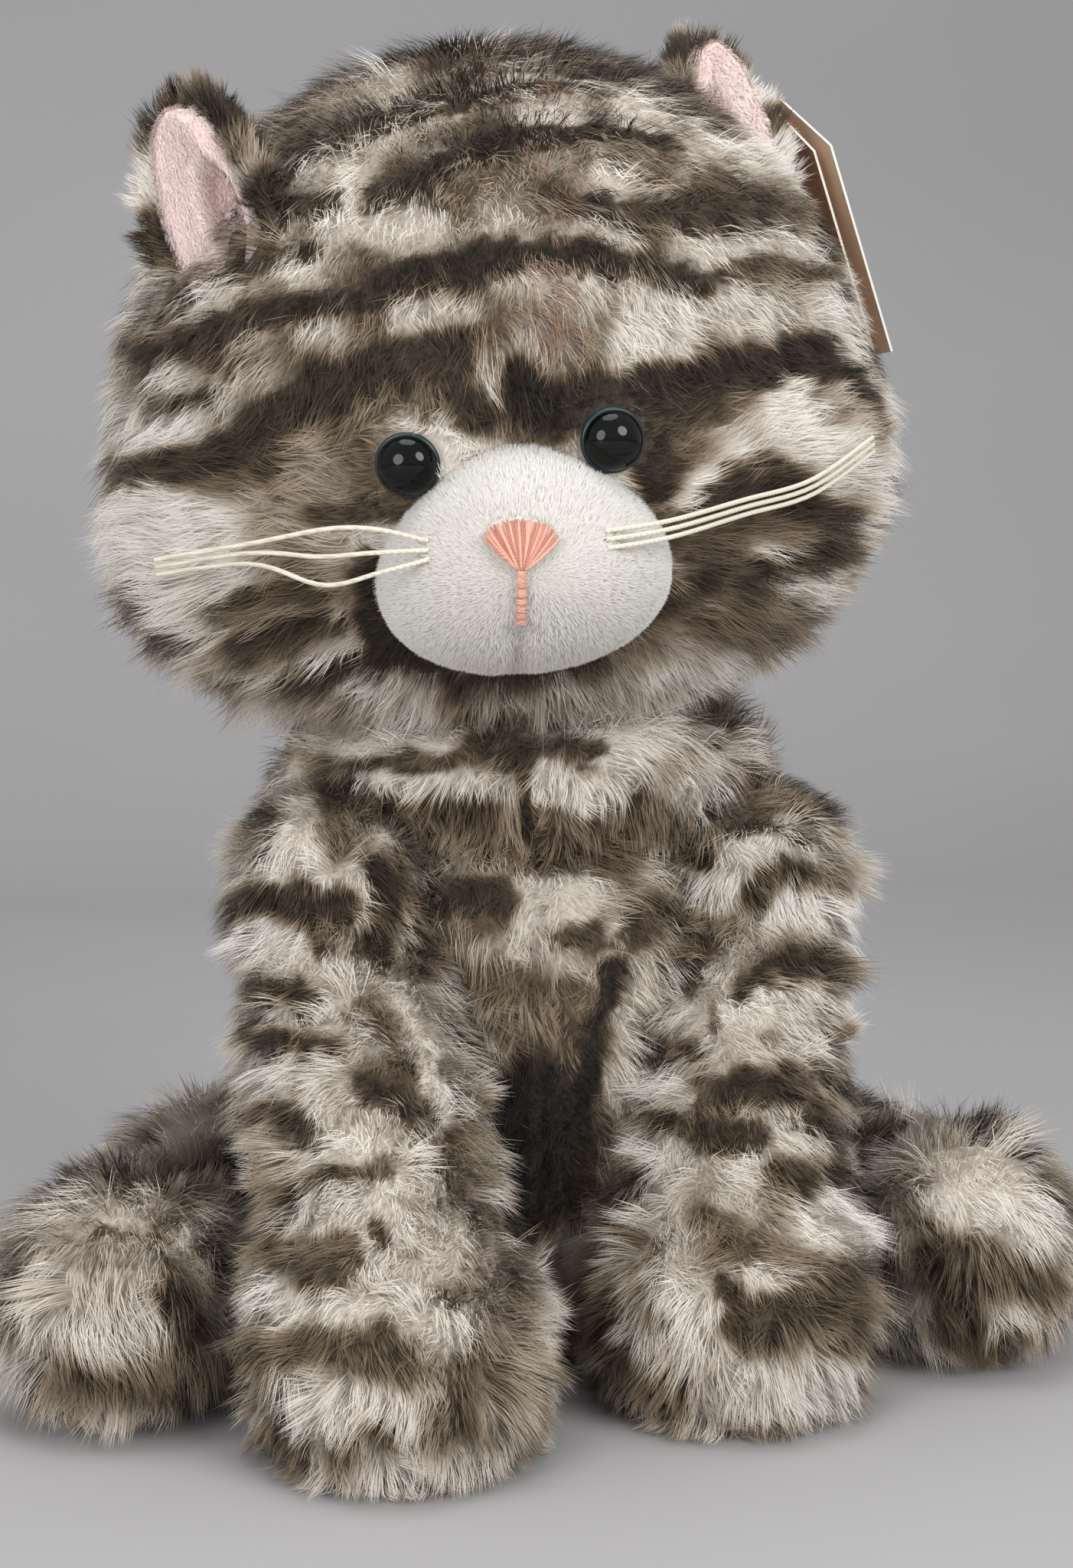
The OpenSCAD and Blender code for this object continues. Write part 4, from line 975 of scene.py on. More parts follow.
head_strokes = [
    (50, 0.8, 200, 680, 270, 700), (22, 0.8, 170, 565, 250, 560), (48, 0.8, 1040, 545, 1090, 600),
    (34, 0.8, 160, 650, 150, 720), (25, 0.8, 1040, 740, 1090, 750), (28, 0.76, 300, 750, 240, 830),
    (50, 0.75, 1100, 420, 1130, 440), (31, 0.75, 140, 480, 150, 560),
    (25, 0.74, 940, 310, 1000, 300, 1060, 320), (22, 0.7, 480, 290, 560, 290),
    (22, 0.7, 840, 400, 900, 420), (20, 0.7, 150, 500, 140, 560), (36, 0.68, 960, 400, 1010, 410),
    (17, 0.68, 330, 235, 450, 205), (20, 0.68, 520, 420, 600, 400), (56, 0.44, 400, 600, 460, 640),
    (25, 0.34, 750, 880, 830, 850, 890, 810), (20, 0.3, 912, 817, 962, 811, 1006, 830, 1069, 811),
    (33, 0.3, 480, 500, 540, 505, 600, 520), (33, 0.3, 1010, 665, 1060, 680, 1110, 700),
    (28, 0.3, 870, 715, 950, 715), (28, 0.3, 450, 560, 480, 640),
    (41, 0.28, 960, 820, 1020, 830, 1070, 815), (29, 0.28, 850, 560, 900, 590),
    (26, 0.26, 875, 699, 912, 692, 975, 699), (15, 0.25, 600, 80, 650, 62, 720, 60, 790, 80),
    (26, 0.25, 640, 555, 700, 560), (35, 0.24, 945, 250, 1000, 255, 1040, 268),
    (20, 0.22, 931, 208, 975, 220, 1012, 236, 1062, 258), (29, 0.22, 310, 850, 370, 840),
    (20, 0.2, 900, 264, 950, 267, 1000, 264),
    (15, 0.2, 931, 364, 962, 345, 1006, 332, 1050, 339, 1100, 351, 1131, 382),
    (13, 0.2, 146, 459, 177, 457, 225, 458, 287, 470), (19, 0.2, 400, 674, 450, 686, 512, 661, 537, 649),
    (16, 0.2, 287, 805, 350, 780, 400, 774), (32, 0.2, 225, 610, 280, 605, 330, 600),
    (32, 0.2, 940, 755, 1000, 760), (23, 0.18, 850, 542, 900, 549, 937, 530),
    (29, 0.16, 970, 640, 1050, 635), (25, 0.16, 330, 560, 430, 510, 520, 482, 590, 476),
    (16, 0.15, 306, 849, 350, 830, 394, 817, 437, 830), (20, 0.14, 287, 289, 350, 264, 412, 245),
    (17, 0.14, 819, 154, 900, 170),
    (17, 0.14, 165, 434, 206, 389, 250, 358, 300, 339, 369, 314, 400, 312),
    (20, 0.14, 1000, 749, 1037, 742, 1075, 730, 1125, 717), (19, 0.12, 781, 251, 838, 258, 900, 264),
    (22, 0.12, 181, 470, 256, 432, 306, 408, 362, 398), (20, 0.12, 137, 624, 181, 614, 225, 605),
    (13, 0.12, 187, 539, 225, 520, 262, 508), (17, 0.12, 806, 830, 869, 805, 931, 780),
    # The stroke at tone 0.12 from 600 to 780 is partly the fur's brown and partly painted shade under the
    # chin
    (22, 0.12, 176, 756, 211, 800, 251, 836), (26, 0.12, 600, 905, 680, 890, 780, 880),
    (32, 0.12, 850, 590, 870, 630), (16, 0.12, 850, 535, 941, 505, 1050, 472, 1115, 490),
    (19, 0.12, 750, 250, 830, 262, 905, 275, 1010, 280),
    (17, 0.12, 390, 180, 480, 130, 610, 100, 740, 85),
    (16, 0.1, 380, 185, 430, 168, 500, 145, 560, 125, 640, 105, 700, 90, 740, 85, 800, 95),
    (29, 0.1, 225, 605, 275, 599, 312, 574, 344, 542, 375, 517, 425, 495),
    (22, 0.1, 425, 495, 475, 470, 538, 458, 600, 445), (20, 0.1, 600, 520, 640, 545),
    (19, 0.1, 937, 661, 987, 649, 1031, 639, 1075, 667, 1112, 686), (12, 0.1, 281, 867, 322, 893),
    (20, 0.1, 560, 890, 650, 905, 738, 890), (29, 0.1, 190, 790, 215, 830),
    (20, 0.09, 781, 326, 819, 332, 881, 345, 931, 364),
    (17, 0.08, 369, 899, 425, 886, 475, 880, 537, 867),
    (23, 0.06, 750, 514, 800, 514, 850, 501, 912, 489, 962, 476, 1006, 464, 1056, 458, 1100, 458,
     1125, 489, 1156, 530), (19, 0.06, 844, 617, 869, 640), (23, 0.06, 700, 520, 750, 535, 800, 540),
    (22, 0.05, 362, 398, 412, 395, 456, 386, 500, 370, 550, 351, 600, 342, 662, 326, 725, 317, 781,
     326), (23, 0.05, 478, 750, 478, 820), (19, 0.05, 530, 222, 610, 185, 690, 162, 800, 155, 880, 165),
    (20, 0.04, 475, 239, 525, 226, 562, 211, 600, 186, 644, 167, 700, 154, 756, 154, 819, 154),
    (20, 0.04, 731, 239, 781, 251), (25, 0.04, 620, 335, 700, 322, 790, 328),
    (29, 0.03, 681, 495, 700, 532, 731, 551), (26, 0.03, 490, 845, 550, 880),
]
# Strands with a tan dye down the middle of the brow
tan_strokes = [
    (30, 1, 712, 180, 745, 225), (30, 1, 722, 360, 731, 425), (21, 1, 722, 105, 728, 125),
    (18, 0.6, 735, 270, 735, 300),
]
head_form = form(head_rings(150, 220))
head_marks = carried(head_strokes, placed(head_form, on_head), in_head)
tan_marks = carried(tan_strokes, placed(head_form, on_head), in_head)


def head_bands(p):
    return np.sin(2 * math.pi * (p[:, 2] + 0.3 * np.abs(p[:, 0]) - 0.12 * p[:, 1]) / head_stripe)


def head_tone(places, normals):
    plain = 0.64 - 0.07 * ease(5, 25, places[:, 2])
    return dye(places, normals, head_marks, head_bands, seed=100, plain=plain)


def head_tan(places):
    return 0.8 * brush_on(places, np.zeros(len(places)), tan_marks)


# The fabric is drawn up under each eye by its washer, and the pile is parted round it
eyes = np.array([[s * eye_x, head_front(eye_x, eye_z), eye_z] for s in (-1, 1)])


def eye_gaps(points):
    return np.linalg.norm(points[:, None, :] - eyes[None], axis=2)


def skin_deep(gap):
    """How far the fabric lies under the tips of the pile, from the gap to the nearer eye."""
    return pile_deep * (0.12 + 0.88 * ease(6, 15, gap))[:, None]


head_shape = sunk(head_form, skin_deep(eye_gaps(head_form[0]).min(1)))
stuffed("head_skin", placed(head_shape, on_head), "head", ["head_cover", "head_stuffing"],
        tone=head_tone(head_form[0], form_normals(*head_form)[1]))

for name, count, facing in (("head_front_pile", head_front_strands, -1),
                            ("head_back_pile", head_back_strands, 1)):
    root, normal = scatter(head_shape, count,
                           lambda p: np.where(p[:, 1] * facing > -8 * (facing < 0), 1.0, 0.0))
    gaps = eye_gaps(root)
    edge = np.where(root[:, 1] < -30, muzzle_edge(root[:, 0], root[:, 2]), 9.0)
    keep = (gaps.min(1) > eye_clear) & (edge > 0.93)
    root, normal, gaps, edge = root[keep], normal[keep], gaps[keep], edge[keep]
    gap = gaps.min(1)
    x, y, z = root.T
    from_crown = unit(root - np.array([0, 8, 74]))
    from_muzzle = unit(root - np.array([0, -60, -22]))
    from_eye = unit(root - eyes[gaps.argmin(1)])
    low_face = (ease(16, -8, z) * ease(-8, -36, y))[:, None]
    comb = tangent(from_crown * (1 - low_face) + from_muzzle * low_face, normal)
    comb = tangent(comb + 1.05 * ease(13, 6.5, gap)[:, None] * from_eye, normal)
    cheek = ease(8, -26, z) * ease(26, 58, np.abs(x))
    chin = ease(-34, -56, z)
    length = head_pile_long + 2.4 * ease(-10, 25, y) + 5.5 * cheek + 3.5 * chin * (1 - cheek)
    length = length * (0.55 + 0.45 * ease(6, 15, gap))
    length = length * (0.72 + 0.28 * np.maximum(ease(1.0, 1.3, edge), ease(-14, -4, z)))
    length = length * (1 + 0.18 * ease(40, 75, -x) - 0.28 * ease(40, 75, x))
    lean = 67 - 9 * cheek - 6 * chin
    pile(name, "head", on_head(root), normal @ head_set.T, comb @ head_set.T, length, lean,
         lambda p, _: head_tone(in_head(p), normal), gather=0.36, tuft_size=3.8, stray=0.18, sway=0.42,
         frost=0.2, tan=lambda p: head_tan(in_head(p)), deep=skin_deep(gap))

# Eyes
# Each eye is a moulded black dome with a thin collar, pushed through the fabric on a stem and locked behind
# it by a plastic washer.
eye_radius = 6.0
eye_out = 4.5
eye_seat = 1.2
eye_stem = 14.0
eye_stem_radius = 2.0
eye_sides = 48
collar_radius = 5.75
collar_half = np.array([0.5, 0.75])

eye_black = plastic_finish("eye_black", paint(5, 6, 7), paint(11, 12, 13), 0.07, 90,
                           {"Specular IOR Level": 0.3})
eye_teal = plastic_finish("eye_collar", paint(26, 40, 42), paint(40, 58, 60), 0.28, 400)
washer_white = plastic_finish("washer_plastic", paint(205, 204, 198), paint(225, 224, 219), 0.4, 260)


def facing_along(way):
    """Turns +z to a direction."""
    tilt = math.degrees(math.acos(way[2]))
    return about("z", math.degrees(math.atan2(way[1], way[0]))) @ about("y", tilt)


bow = np.radians(np.linspace(4, 86, 14))
dome_r = [eye_stem_radius - 0.01, eye_stem_radius, eye_stem_radius, 4.9, 5.55,
          *(eye_radius * np.cos(bow) * 0.955)]
dome_z = [-eye_stem, -eye_stem + 0.4, -0.4, -0.2, 0.3, *(eye_seat - 0.3 + (eye_out + 0.3) * np.sin(bow))]
dome = form(turned(dome_r, dome_z, eye_sides))
arc = full_turn(12)
collar = turned(collar_radius + collar_half[0] * np.cos(arc), collar_half[1] * (1 + np.sin(arc)), eye_sides)
i, j = np.meshgrid(np.arange(len(arc)), np.arange(eye_sides), indexing="ij")
after, beside = (i + 1) % len(arc) * eye_sides, (j + 1) % eye_sides
ring = np.stack([i * eye_sides + j, i * eye_sides + beside, after + beside, after + j], -1).reshape(-1, 4)
for eye, name in zip(eyes, ("left_eye", "right_eye")):
    seat = facing_along(unit(eye / (2 * head_half) ** 2))
    belongs(mesh_piece(name + "_dome", on_head(eye + dome[0] @ seat.T), dome[1:], eye_black),
            "head", "eye_plastic", name)
    belongs(mesh_piece(name + "_collar", on_head(eye + collar.reshape(-1, 3) @ seat.T), [ring], eye_teal),
            "head", "eye_plastic")
    finish_node(name + "_washer", washer_white)

# Muzzle
# The muzzle is a separate cap of white plush with a short velvety pile, stuffed and sewn on the face. A
# stitch under the mouth draws in the chin.
muzzle_out = 24.0
muzzle_sink = 10.0
muzzle_full = 2.6
muzzle_strands = 60000
muzzle_pile_deep = 1.3
muzzle_pile_long = 1.6
muzzle_back = head_front(0, -muzzle_low) + muzzle_sink
muzzle_deep = muzzle_out + muzzle_sink
mouth_turn = math.radians(7.0)
nose_top = 12.5
nose_wide = 14.0
nose_high = 9.0


def mouth_place(x, z):
    """Across and along the line of the mouth, which starts at the nose's top edge."""
    c, s = math.cos(mouth_turn), math.sin(mouth_turn)
    b = z + muzzle_low - nose_top
    return x * c - b * s, x * s + b * c


def muzzle_rings(count, sides):
    turn = full_turn(sides)
    v = np.sin(np.linspace(0, 0.985, count) * math.pi / 2)[:, None]
    s = np.sqrt(np.maximum(0, 1 - v ** muzzle_full))
    x = muzzle_half[0] * s * np.cos(turn) * (1 - muzzle_taper * np.sin(turn))
    z = -muzzle_low + muzzle_half[1] * s * np.sin(turn)
    across, along = mouth_place(x, z)
    crease = 2.1 * np.exp(-(across / 1.9) ** 2) * ease(-17, -21, along)
    return np.stack([x, muzzle_back - v * muzzle_deep + crease, z], 2)


white_pile = pile_finish(
    "white_pile", [(0.0, paint(196, 188, 178)), (0.5, paint(226, 221, 214)), (1.0, paint(238, 235, 230))],
    [(0.0, paint(176, 167, 157)), (1.0, paint(232, 228, 221))], 0.2)
white_backing = backing_finish("white_backing", [(0.0, paint(196, 189, 180)), (1.0, paint(228, 223, 216))])

muzzle_shape = sunk(form(muzzle_rings(40, 72)), muzzle_pile_deep)
stuffed("muzzle_skin", placed(muzzle_shape, on_head), "head", ["muzzle_cover", "muzzle_stuffing"],
        tone=0.7, material=white_backing, slot="white_plush")
root, normal = scatter(muzzle_shape, muzzle_strands, lambda p: np.where(head_inside(p) > 0.93, 1.0, 0.0))
# No pile grows where the nose and the mouth are stitched
across, along = mouth_place(root[:, 0], root[:, 2])
rim = -0.2 - 2.2 * (across / 6.8) ** 4 - 0.9 * np.abs(across / 6.8)
half = np.where(along > -nose_high, 6.6 * np.clip((along + 9.6) / 9, 0, 1) + 0.4, 0.9)
keep = (np.abs(across) >= half) | (along >= rim) | (along <= -18.2)
root, normal, across, along = root[keep], normal[keep], across[keep], along[keep]
comb = tangent(root - np.array([0, -100, -18]), normal)
# The white pile is painted darker along the crease under the mouth: painted shade in the crease
crease = np.exp(-(across / 1.6) ** 2) * ease(-17, -20, along)
tone = np.clip(0.84 + 0.14 * (speckle(root, 5, 210) - 0.5) + rng.normal(0, 0.07, len(root)) - 0.45 * crease,
               0.02, 0.97)
pile("muzzle_pile", "head", on_head(root), normal @ head_set.T, comb @ head_set.T, muzzle_pile_long,
     lean=58.0, tone=tone, width=0.12, gather=0.15, tuft_size=2.2, sway=0.14, material=white_pile,
     slot="white_plush")

# Nose and mouth
# The nose is a fan of salmon satin stitches that meet at its lower tip. The mouth is a bar of short
# stitches laid across a straight line below it.
mouth_wide = 1.8
mouth_long = 9.0
thread_radius = 0.27
nose_threads = 46
mouth_threads = 32


def muzzle_y(x, z):
    """The muzzle's surface at a place on the face."""
    share = muzzle_edge(np.array([float(x)]), np.array([z]))[0]
    return muzzle_back - max(0.0, 1 - share ** 2) ** (1 / muzzle_full) * muzzle_deep


def on_muzzle(a, b, lift):
    """A point over the muzzle's surface from its place across and along the line of the mouth."""
    c, s = math.cos(mouth_turn), math.sin(mouth_turn)
    x = a * c + b * s
    z = nose_top - muzzle_low - a * s + b * c
    return np.array([x, muzzle_y(x, z) - lift, z])


def tube(line, radius, sides):
    """Rings of a thread along a line, thinner at its two ends."""
    line = np.array(line)
    way = unit(np.gradient(line, axis=0))
    across = unit(np.cross(way, np.array([0.13, 1.0, 0.21])))
    up = np.cross(way, across)
    turn = full_turn(sides)[None, :, None]
    thick = np.full(len(line), radius)
    thick[[0, -1]] *= 0.6
    around = across[:, None] * np.cos(turn) + up[:, None] * np.sin(turn)
    return line[:, None] + thick[:, None, None] * around


# The light end and each thread's own tone stand partly for painted glints on the satin stitches
salmon_thread = thread_finish("salmon_thread", paint(188, 108, 86), paint(244, 190, 168), 1400, 0.32,
                              own=True)


def stitched(name, node, threads):
    """A piece of embroidery, each thread with a tone of its own, partly its colour and partly painted glints
    on the satin.
    """
    thread_tones_and_glints = np.repeat(rng.random(len(threads)), [len(thread[0]) for thread in threads])
    threads = gathered(threads)
    piece = mesh_piece(name, on_head(threads[0]), threads[1:], salmon_thread)
    keep_dye(piece, thread_tones_and_glints)
    belongs(piece, "head", "salmon_thread", node)


fan = []
for k, t in enumerate(np.linspace(-1, 1, nose_threads)):
    t = t + rng.normal(0, 0.012)
    rim = np.array([t * (nose_wide / 2 - 0.2), -2.2 * t ** 4 + 0.1 - 0.9 * abs(t) + rng.normal(0, 0.12)])
    foot = np.array([0.5 * t, -nose_high + 0.5 + 0.25 * abs(t)])
    crest = 0.75 + (0.25 * rng.random() + 0.25 * (k % 2))
    line = []
    for s in np.linspace(0, 1, 9):
        lift = 0.05 + crest * math.sin(math.pi * min(1, 0.06 + 0.9 * s)) ** 0.5
        line.append(on_muzzle(*(foot + (rim - foot) * s), lift))
    fan.append(form(tube(line, thread_radius * (1.0 + 0.25 * rng.random()), 7)))
stitched("nose_threads", "nose_embroidery", fan)

bars = []
for k, b in enumerate(np.linspace(-nose_high + 0.5, -nose_high - mouth_long, mouth_threads)):
    slant = rng.normal(0, 0.1) + 0.16 * (-1) ** k
    line = [on_muzzle(a, b + slant * a, 0.1 + 0.75 * math.sqrt(max(0, 1 - (a / (mouth_wide / 2)) ** 2)))
            for a in np.linspace(-mouth_wide / 2, mouth_wide / 2, 7) * rng.uniform(0.9, 1.08)]
    bars.append(form(tube(line, thread_radius * 0.85, 6)))
stitched("mouth_threads", "mouth_stitches", bars)

# Whiskers
# Three lengths of stiff off-white waxed cord on each side, sewn into the muzzle by one end and cut straight
# off at the other. They are bent back along the cheeks.
whisker_thick = 0.9
whisker_sink = 1.2


def whisker_root(x, up):
    return (x, muzzle_y(x, up - muzzle_low) + whisker_sink, up - muzzle_low)


whisker_routes = {
    "left_whisker_upper": [whisker_root(-17, 9), (-26, -82, -9), (-35, -79, -8.5), (-50, -72, -11),
                           (-69, -60, -14.5)],
    "left_whisker_middle": [whisker_root(-17, 7.6), (-27, -83, -13), (-37, -79, -13.4), (-50, -72, -12.7),
                            (-69, -60, -15.9)],
    "left_whisker_lower": [whisker_root(-17, 6.2), (-26, -84, -16.5), (-37, -80, -18.5), (-50, -72, -14.8),
                           (-69, -60, -17.3)],
    "right_whisker_upper": [whisker_root(15, 7.6), (27, -82, -14), (42, -70, -14.6), (57, -58, -15),
                            (72, -42, -11.6)],
    "right_whisker_middle": [whisker_root(15, 6.2), (27, -82.5, -15.4), (42, -70, -16), (57, -58, -16.4),
                             (72, -42, -13)],
    "right_whisker_lower": [whisker_root(15, 4.8), (27, -83, -16.8), (42, -70, -17.4), (57, -58, -17.8),
                            (72, -42, -14.4)],
}
waxed_cord = thread_finish("waxed_cord", paint(222, 211, 190), paint(238, 230, 213), 500, 0.38)
for name, route in whisker_routes.items():
    line = on_head(flowing(route, 26)) * 0.001
    cord = bpy.data.curves.new(name + "_cord", "CURVE")
    cord.dimensions = "3D"
    cord.bevel_depth = whisker_thick / 2000
    cord.bevel_resolution = 3
    cord.use_fill_caps = True
    run = cord.splines.new("POLY")
    run.points.add(len(line) - 1)
    run.points.foreach_set("co", np.concatenate([line, np.ones((len(line), 1))], 1).ravel())
    cord.materials.append(waxed_cord)
    whisker = bpy.data.objects.new(name + "_cord", cord)
    bpy.context.scene.collection.objects.link(whisker)
    belongs(whisker, "head", "waxed_cord", name)

# Ears
# Each ear is a cupped pad of tabby fabric behind and pink plush in front, turned out through its open base
# and sewn to the head along that seam. The pink pad is puffed at its rim round a hollow.
ear_splay = 14.0
ear_cup = 21.0
ear_strands = 20000
ear_pile_long = 6.5
shell_in = 2.8
shell_front_radius, shell_back_radius = 23.25, 22.8
shell_thick = 3.4
lining_radius = 20.1
lining_puff = 5.0
lining_strands = 9000
lining_pile_long = 1.6
ear_heights = [-20, -12, -2.5, 0, 2, 4.7, 9, 13.8, 16, 18, 20, 21, 22]
ear_halves = [14.6, 17, 18, 17.8, 17.4, 16.5, 14.6, 12.5, 11.3, 9.7, 7.2, 5.2, 0.4]
pad_heights = [-20, -12, -2.5, 0, 4, 8, 11, 13, 15, 16, 16.8, 17.2]
pad_halves = [9.4, 10, 10.2, 9.9, 9.3, 8.5, 7.8, 6.9, 5.4, 4.2, 2.7, 0.3]

pink_pile = pile_finish(
    "pink_pile", [(0.0, paint(214, 166, 157)), (0.5, paint(250, 229, 223)), (1.0, paint(255, 246, 243))],
    [(0.0, paint(196, 140, 130)), (1.0, paint(252, 232, 226))], 0.3)
pink_backing = backing_finish("pink_backing", [(0.0, paint(214, 168, 159)), (1.0, paint(251, 233, 228))])


def shell_half(z):
    return np.maximum(np.interp(z + shell_in * ease(0, 20, z), ear_heights, ear_halves) - shell_in, 0.2)


def pad_half(z):
    return np.interp(z, pad_heights, pad_halves)


def cupped(z, half, front, back, count):
    """Rings of a cupped pad: along its front from side to side and back behind."""
    x = half[:, None] * np.sin(np.linspace(-1, 1, count) * math.pi / 2)
    height = z[:, None] + 0 * x
    there = np.stack([x, front(x, height), height], 2)
    again = np.stack([x, back(x, height), height], 2)[:, ::-1]
    return np.concatenate([there, again], 1)


def cup(x, radius):
    return np.sqrt(np.maximum(radius ** 2 - x ** 2, 1.0)) - ear_cup


def shell_front(x, z):
    thick = shell_thick * np.sqrt(np.maximum(0.02, 1 - (np.abs(x) / shell_half(z)) ** 8))
    return cup(x, shell_front_radius) - thick


def lining_hollow(x, z, side):
    """1 in the hollow of the pink pad, which lies towards the middle of the head."""
    return ease(1.0, 0.5, np.hypot((x + 4.2 * side) / 5.6, (z + 4) / 12))


def lining_front(x, z, side):
    rise = np.sqrt(np.clip((pad_half(z) - np.abs(x)) / 3.0, 0, 1))
    return cup(x, lining_radius) - 0.3 - lining_puff * rise * (1 - 0.95 * lining_hollow(x, z, side))


for side, name, out, forward, turn_by, lean_by in ((-1, "left_ear", 50.5, 24.0, -30.0, 0.0),
                                                    (1, "right_ear", 54.0, -21.76, 38.0, -25.0)):
    q = (out / head_half[0]) ** 2 + (forward / head_half[1]) ** 2
    top = head_half[2] * (1 - q / (1 - head_taper * 0.6) ** 2) ** (1 / head_full)
    foot = np.array([side * out, -forward, top])
    ear_set = about("z", turn_by) @ about("y", side * ear_splay) @ about("x", lean_by)
    ear_turn = (head_set @ ear_set).T

    def ear_on_head(points):
        return foot + points @ ear_set.T

    def on_ear(points):
        return on_head(ear_on_head(points))

    def ear_tone(places, normals):
        inner = ease(0, 12, -side * places[:, 0]) * ease(-6, 8, places[:, 2])
        return dye(places, normals, [], leg_bands, seed=130 + side) * (1 - 0.5 * inner)

    z = np.linspace(-19.5, 19.0, 60)
    shell = form(cupped(z, shell_half(z), shell_front, lambda x, h: cup(x, shell_back_radius), 34))
    stuffed(name + "_skin", placed(shell, on_ear), name, [name], tone=ear_tone(shell[0], shell[0]))
    z = np.concatenate([np.linspace(-18.5, 14, 38), np.linspace(14.4, 17.1, 10)])
    lining = form(cupped(z, pad_half(z), lambda x, h: lining_front(x, h, side),
                         lambda x, h: cup(x, lining_radius) + 0.2, 40))
    stuffed(name + "_pink", placed(lining, on_ear), name, [name + "_lining"], tone=0.6,
            material=pink_backing, slot="pink_plush")

    root, normal = scatter(shell, ear_strands, lambda p: np.where(p[:, 1] > cup(p[:, 0], 21.2), 1.0, 0.55))
    rim = shell_half(root[:, 2]) - np.abs(root[:, 0])
    keep = (head_inside(ear_on_head(root)) > 0.96) & ((normal[:, 1] > -0.3) | (rim < 5.6))
    root, normal, rim = root[keep], normal[keep], rim[keep]
    comb = tangent(root - np.array([0, 2, -26]), normal)
    lean = 64 - 26 * ease(6, 0.5, rim)
    pile(name + "_pile", name, on_ear(root), normal @ ear_turn, comb @ ear_turn, ear_pile_long, lean,
         lambda p, _: ear_tone((in_head(p) - foot) @ ear_set, normal), width=0.18, deep=2.0)

    root, normal = scatter(lining, lining_strands,
                           lambda p: np.where(p[:, 1] < cup(p[:, 0], lining_radius), 1.0, 0.0))
    keep = (head_inside(ear_on_head(root)) > 0.97) & (normal[:, 1] < 0.5)
    root, normal = root[keep], normal[keep]
    comb = tangent(down + np.array([0.35, 0.0, 0.0]), normal)
    hollow = lining_hollow(root[:, 0], root[:, 2], side)
    # The pink is painted darker in the hollow of the pad: painted shade
    tone = np.clip(0.9 - 0.55 * hollow + rng.normal(0, 0.07, len(root)), 0.02, 0.97)
    pile(name + "_pink_pile", name, on_ear(root), normal @ ear_turn, comb @ ear_turn, lining_pile_long,
         lean=66.0, tone=tone, width=0.13, gather=0.2, tuft_size=2.2, sway=0.22, material=pink_pile,
         slot="pink_plush")

# Hang tag
# A folded card hangs behind the right ear: a brown kraft leaf in front and a cream leaf behind, both blank,
# punched and held to the head by a clear plastic fastener.
tag_turn = -80
tag_lean = 20


def card_finish(name, dark, light, core):
    """Uncoated card: pressed fibres on its faces, and its pale core along the cut edges."""
    material = new_finish(name)
    fibres = uneven(material, 260, 6, 1.5)
    facing = about("z", tag_turn) @ about("x", tag_lean) @ np.array([0.0, 1.0, 0.0])
    normal = wire(material, "TexCoord", {}).outputs["Normal"]
    dot = wire(material, "VectorMath", {0: normal, 1: facing.tolist()}, operation="DOT_PRODUCT")
    face = wire(material, "Math", {0: dot.outputs["Value"]}, operation="ABSOLUTE").outputs["Value"]
    tone = ramp(material, fibres, [(0.3, dark), (0.7, light)])
    colour = blend(material, step(material, face, 0.4, 0.6), core, tone)
    dress(material, {"Roughness": 0.8, "Base Color": colour, "Normal": bump(material, fibres, 0.25, 0.0002)})
    return material


finish_node("tag_cover_leaf",
            card_finish("kraft_card", paint(146, 100, 68), paint(170, 121, 86), paint(240, 233, 220)))
finish_node("tag_back_leaf",
            card_finish("cream_card", paint(232, 212, 180), paint(240, 223, 195), paint(248, 243, 232)))
finish_node("tag_fastener",
            plastic_finish("clear_plastic", paint(226, 228, 228), paint(240, 241, 241), 0.2, 300,
                           {"Transmission Weight": 0.75}))

# Studio
# A plain pale sweep stands in for the floor and the wall behind, under large soft lamps.
sweep_half = 3000.0
sweep_front = -2500.0
bend_start = 750.0
bend_radius = 500.0
wall_high = 2600.0

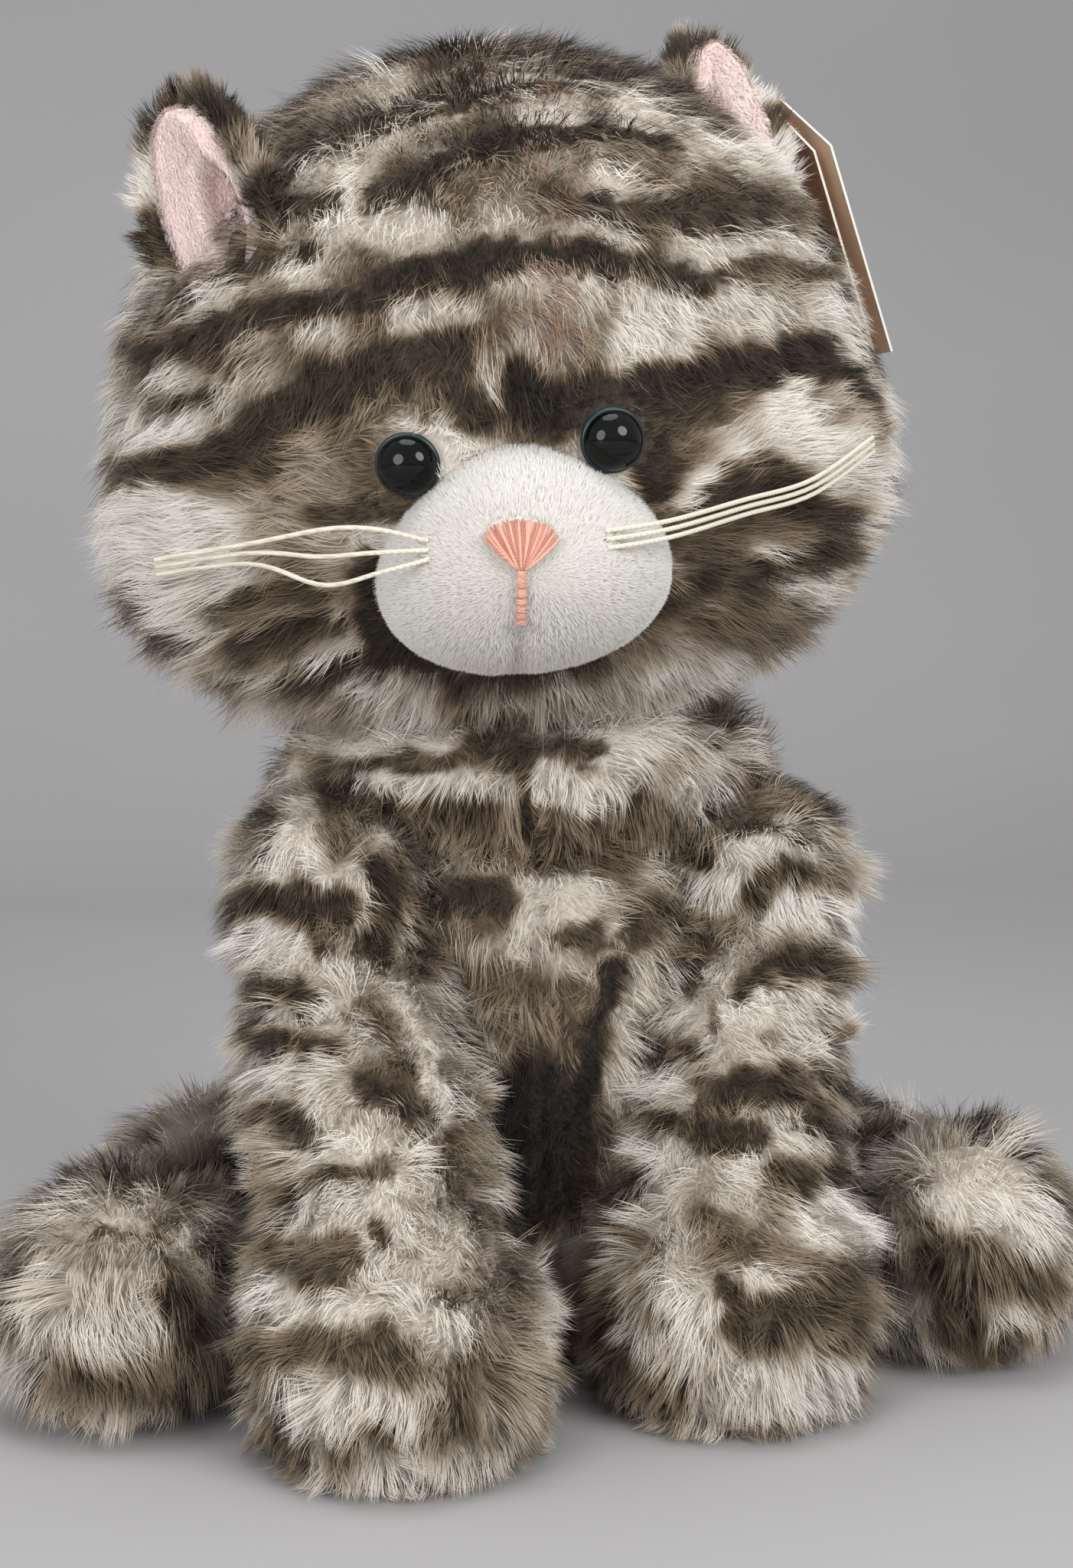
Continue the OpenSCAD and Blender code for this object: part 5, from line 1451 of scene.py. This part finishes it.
sweep_finish = new_finish("pale_sweep")
sweep_tone = ramp(sweep_finish, uneven(sweep_finish, 3, 2),
                  [(0.3, paint(178, 176, 176)), (0.7, paint(183, 181, 181))])
dress(sweep_finish, {"Roughness": 0.85, "Base Color": sweep_tone})
profile = [(sweep_front, 0.0), (bend_start, 0.0)]
profile += [(bend_start + bend_radius * math.sin(a), bend_radius * (1 - math.cos(a)))
            for a in np.linspace(0.1, math.pi / 2, 12)]
profile += [(bend_start + bend_radius, wall_high)]
points = np.array([[x, y, z] for y, z in profile for x in (-sweep_half, sweep_half)])
strip = np.arange(len(profile) - 1)[:, None] * 2 + np.array([0, 1, 3, 2])
mesh_piece("sweep", points, [strip], sweep_finish)

world = bpy.data.worlds.new("studio")
bpy.context.scene.world = world
world.use_nodes = True
world.node_tree.nodes["Background"].inputs["Color"].default_value = (0.95, 0.97, 1.0, 1.0)
world.node_tree.nodes["Background"].inputs["Strength"].default_value = 0.5


def lamp(name, at, size, power, aim=(0, 0, 0.15)):
    light = bpy.data.lights.new(name, "AREA")
    light.shape = "DISK"
    light.size = size
    light.energy = power
    piece = bpy.data.objects.new(name, light)
    piece.location = at
    way = np.array(aim) - np.array(at)
    flat = math.hypot(way[0], way[1])
    piece.rotation_euler = (math.pi / 2 + math.atan2(way[2], flat), 0, math.atan2(-way[0], way[1]))
    bpy.context.scene.collection.objects.link(piece)


lamp("key_lamp", (0.5, -1.0, 0.6), 0.6, 7.5)
lamp("fill_lamp", (-0.75, -0.75, 0.35), 0.6, 4.8)
lamp("top_lamp", (-0.1, -0.15, 1.4), 0.9, 6.2)

camera = bpy.data.objects.new("camera", bpy.data.cameras.new("camera"))
camera.location = photo_from * 0.001
camera.rotation_euler = (math.radians(90 - photo_dip), 0, math.radians(photo_turn))
camera.data.sensor_fit = "VERTICAL"
camera.data.sensor_height = sensor_high
camera.data.lens = lens_long
camera.data.clip_start = 0.01
bpy.context.scene.collection.objects.link(camera)
bpy.context.scene.camera = camera
bpy.context.scene.view_settings.view_transform = "Standard"
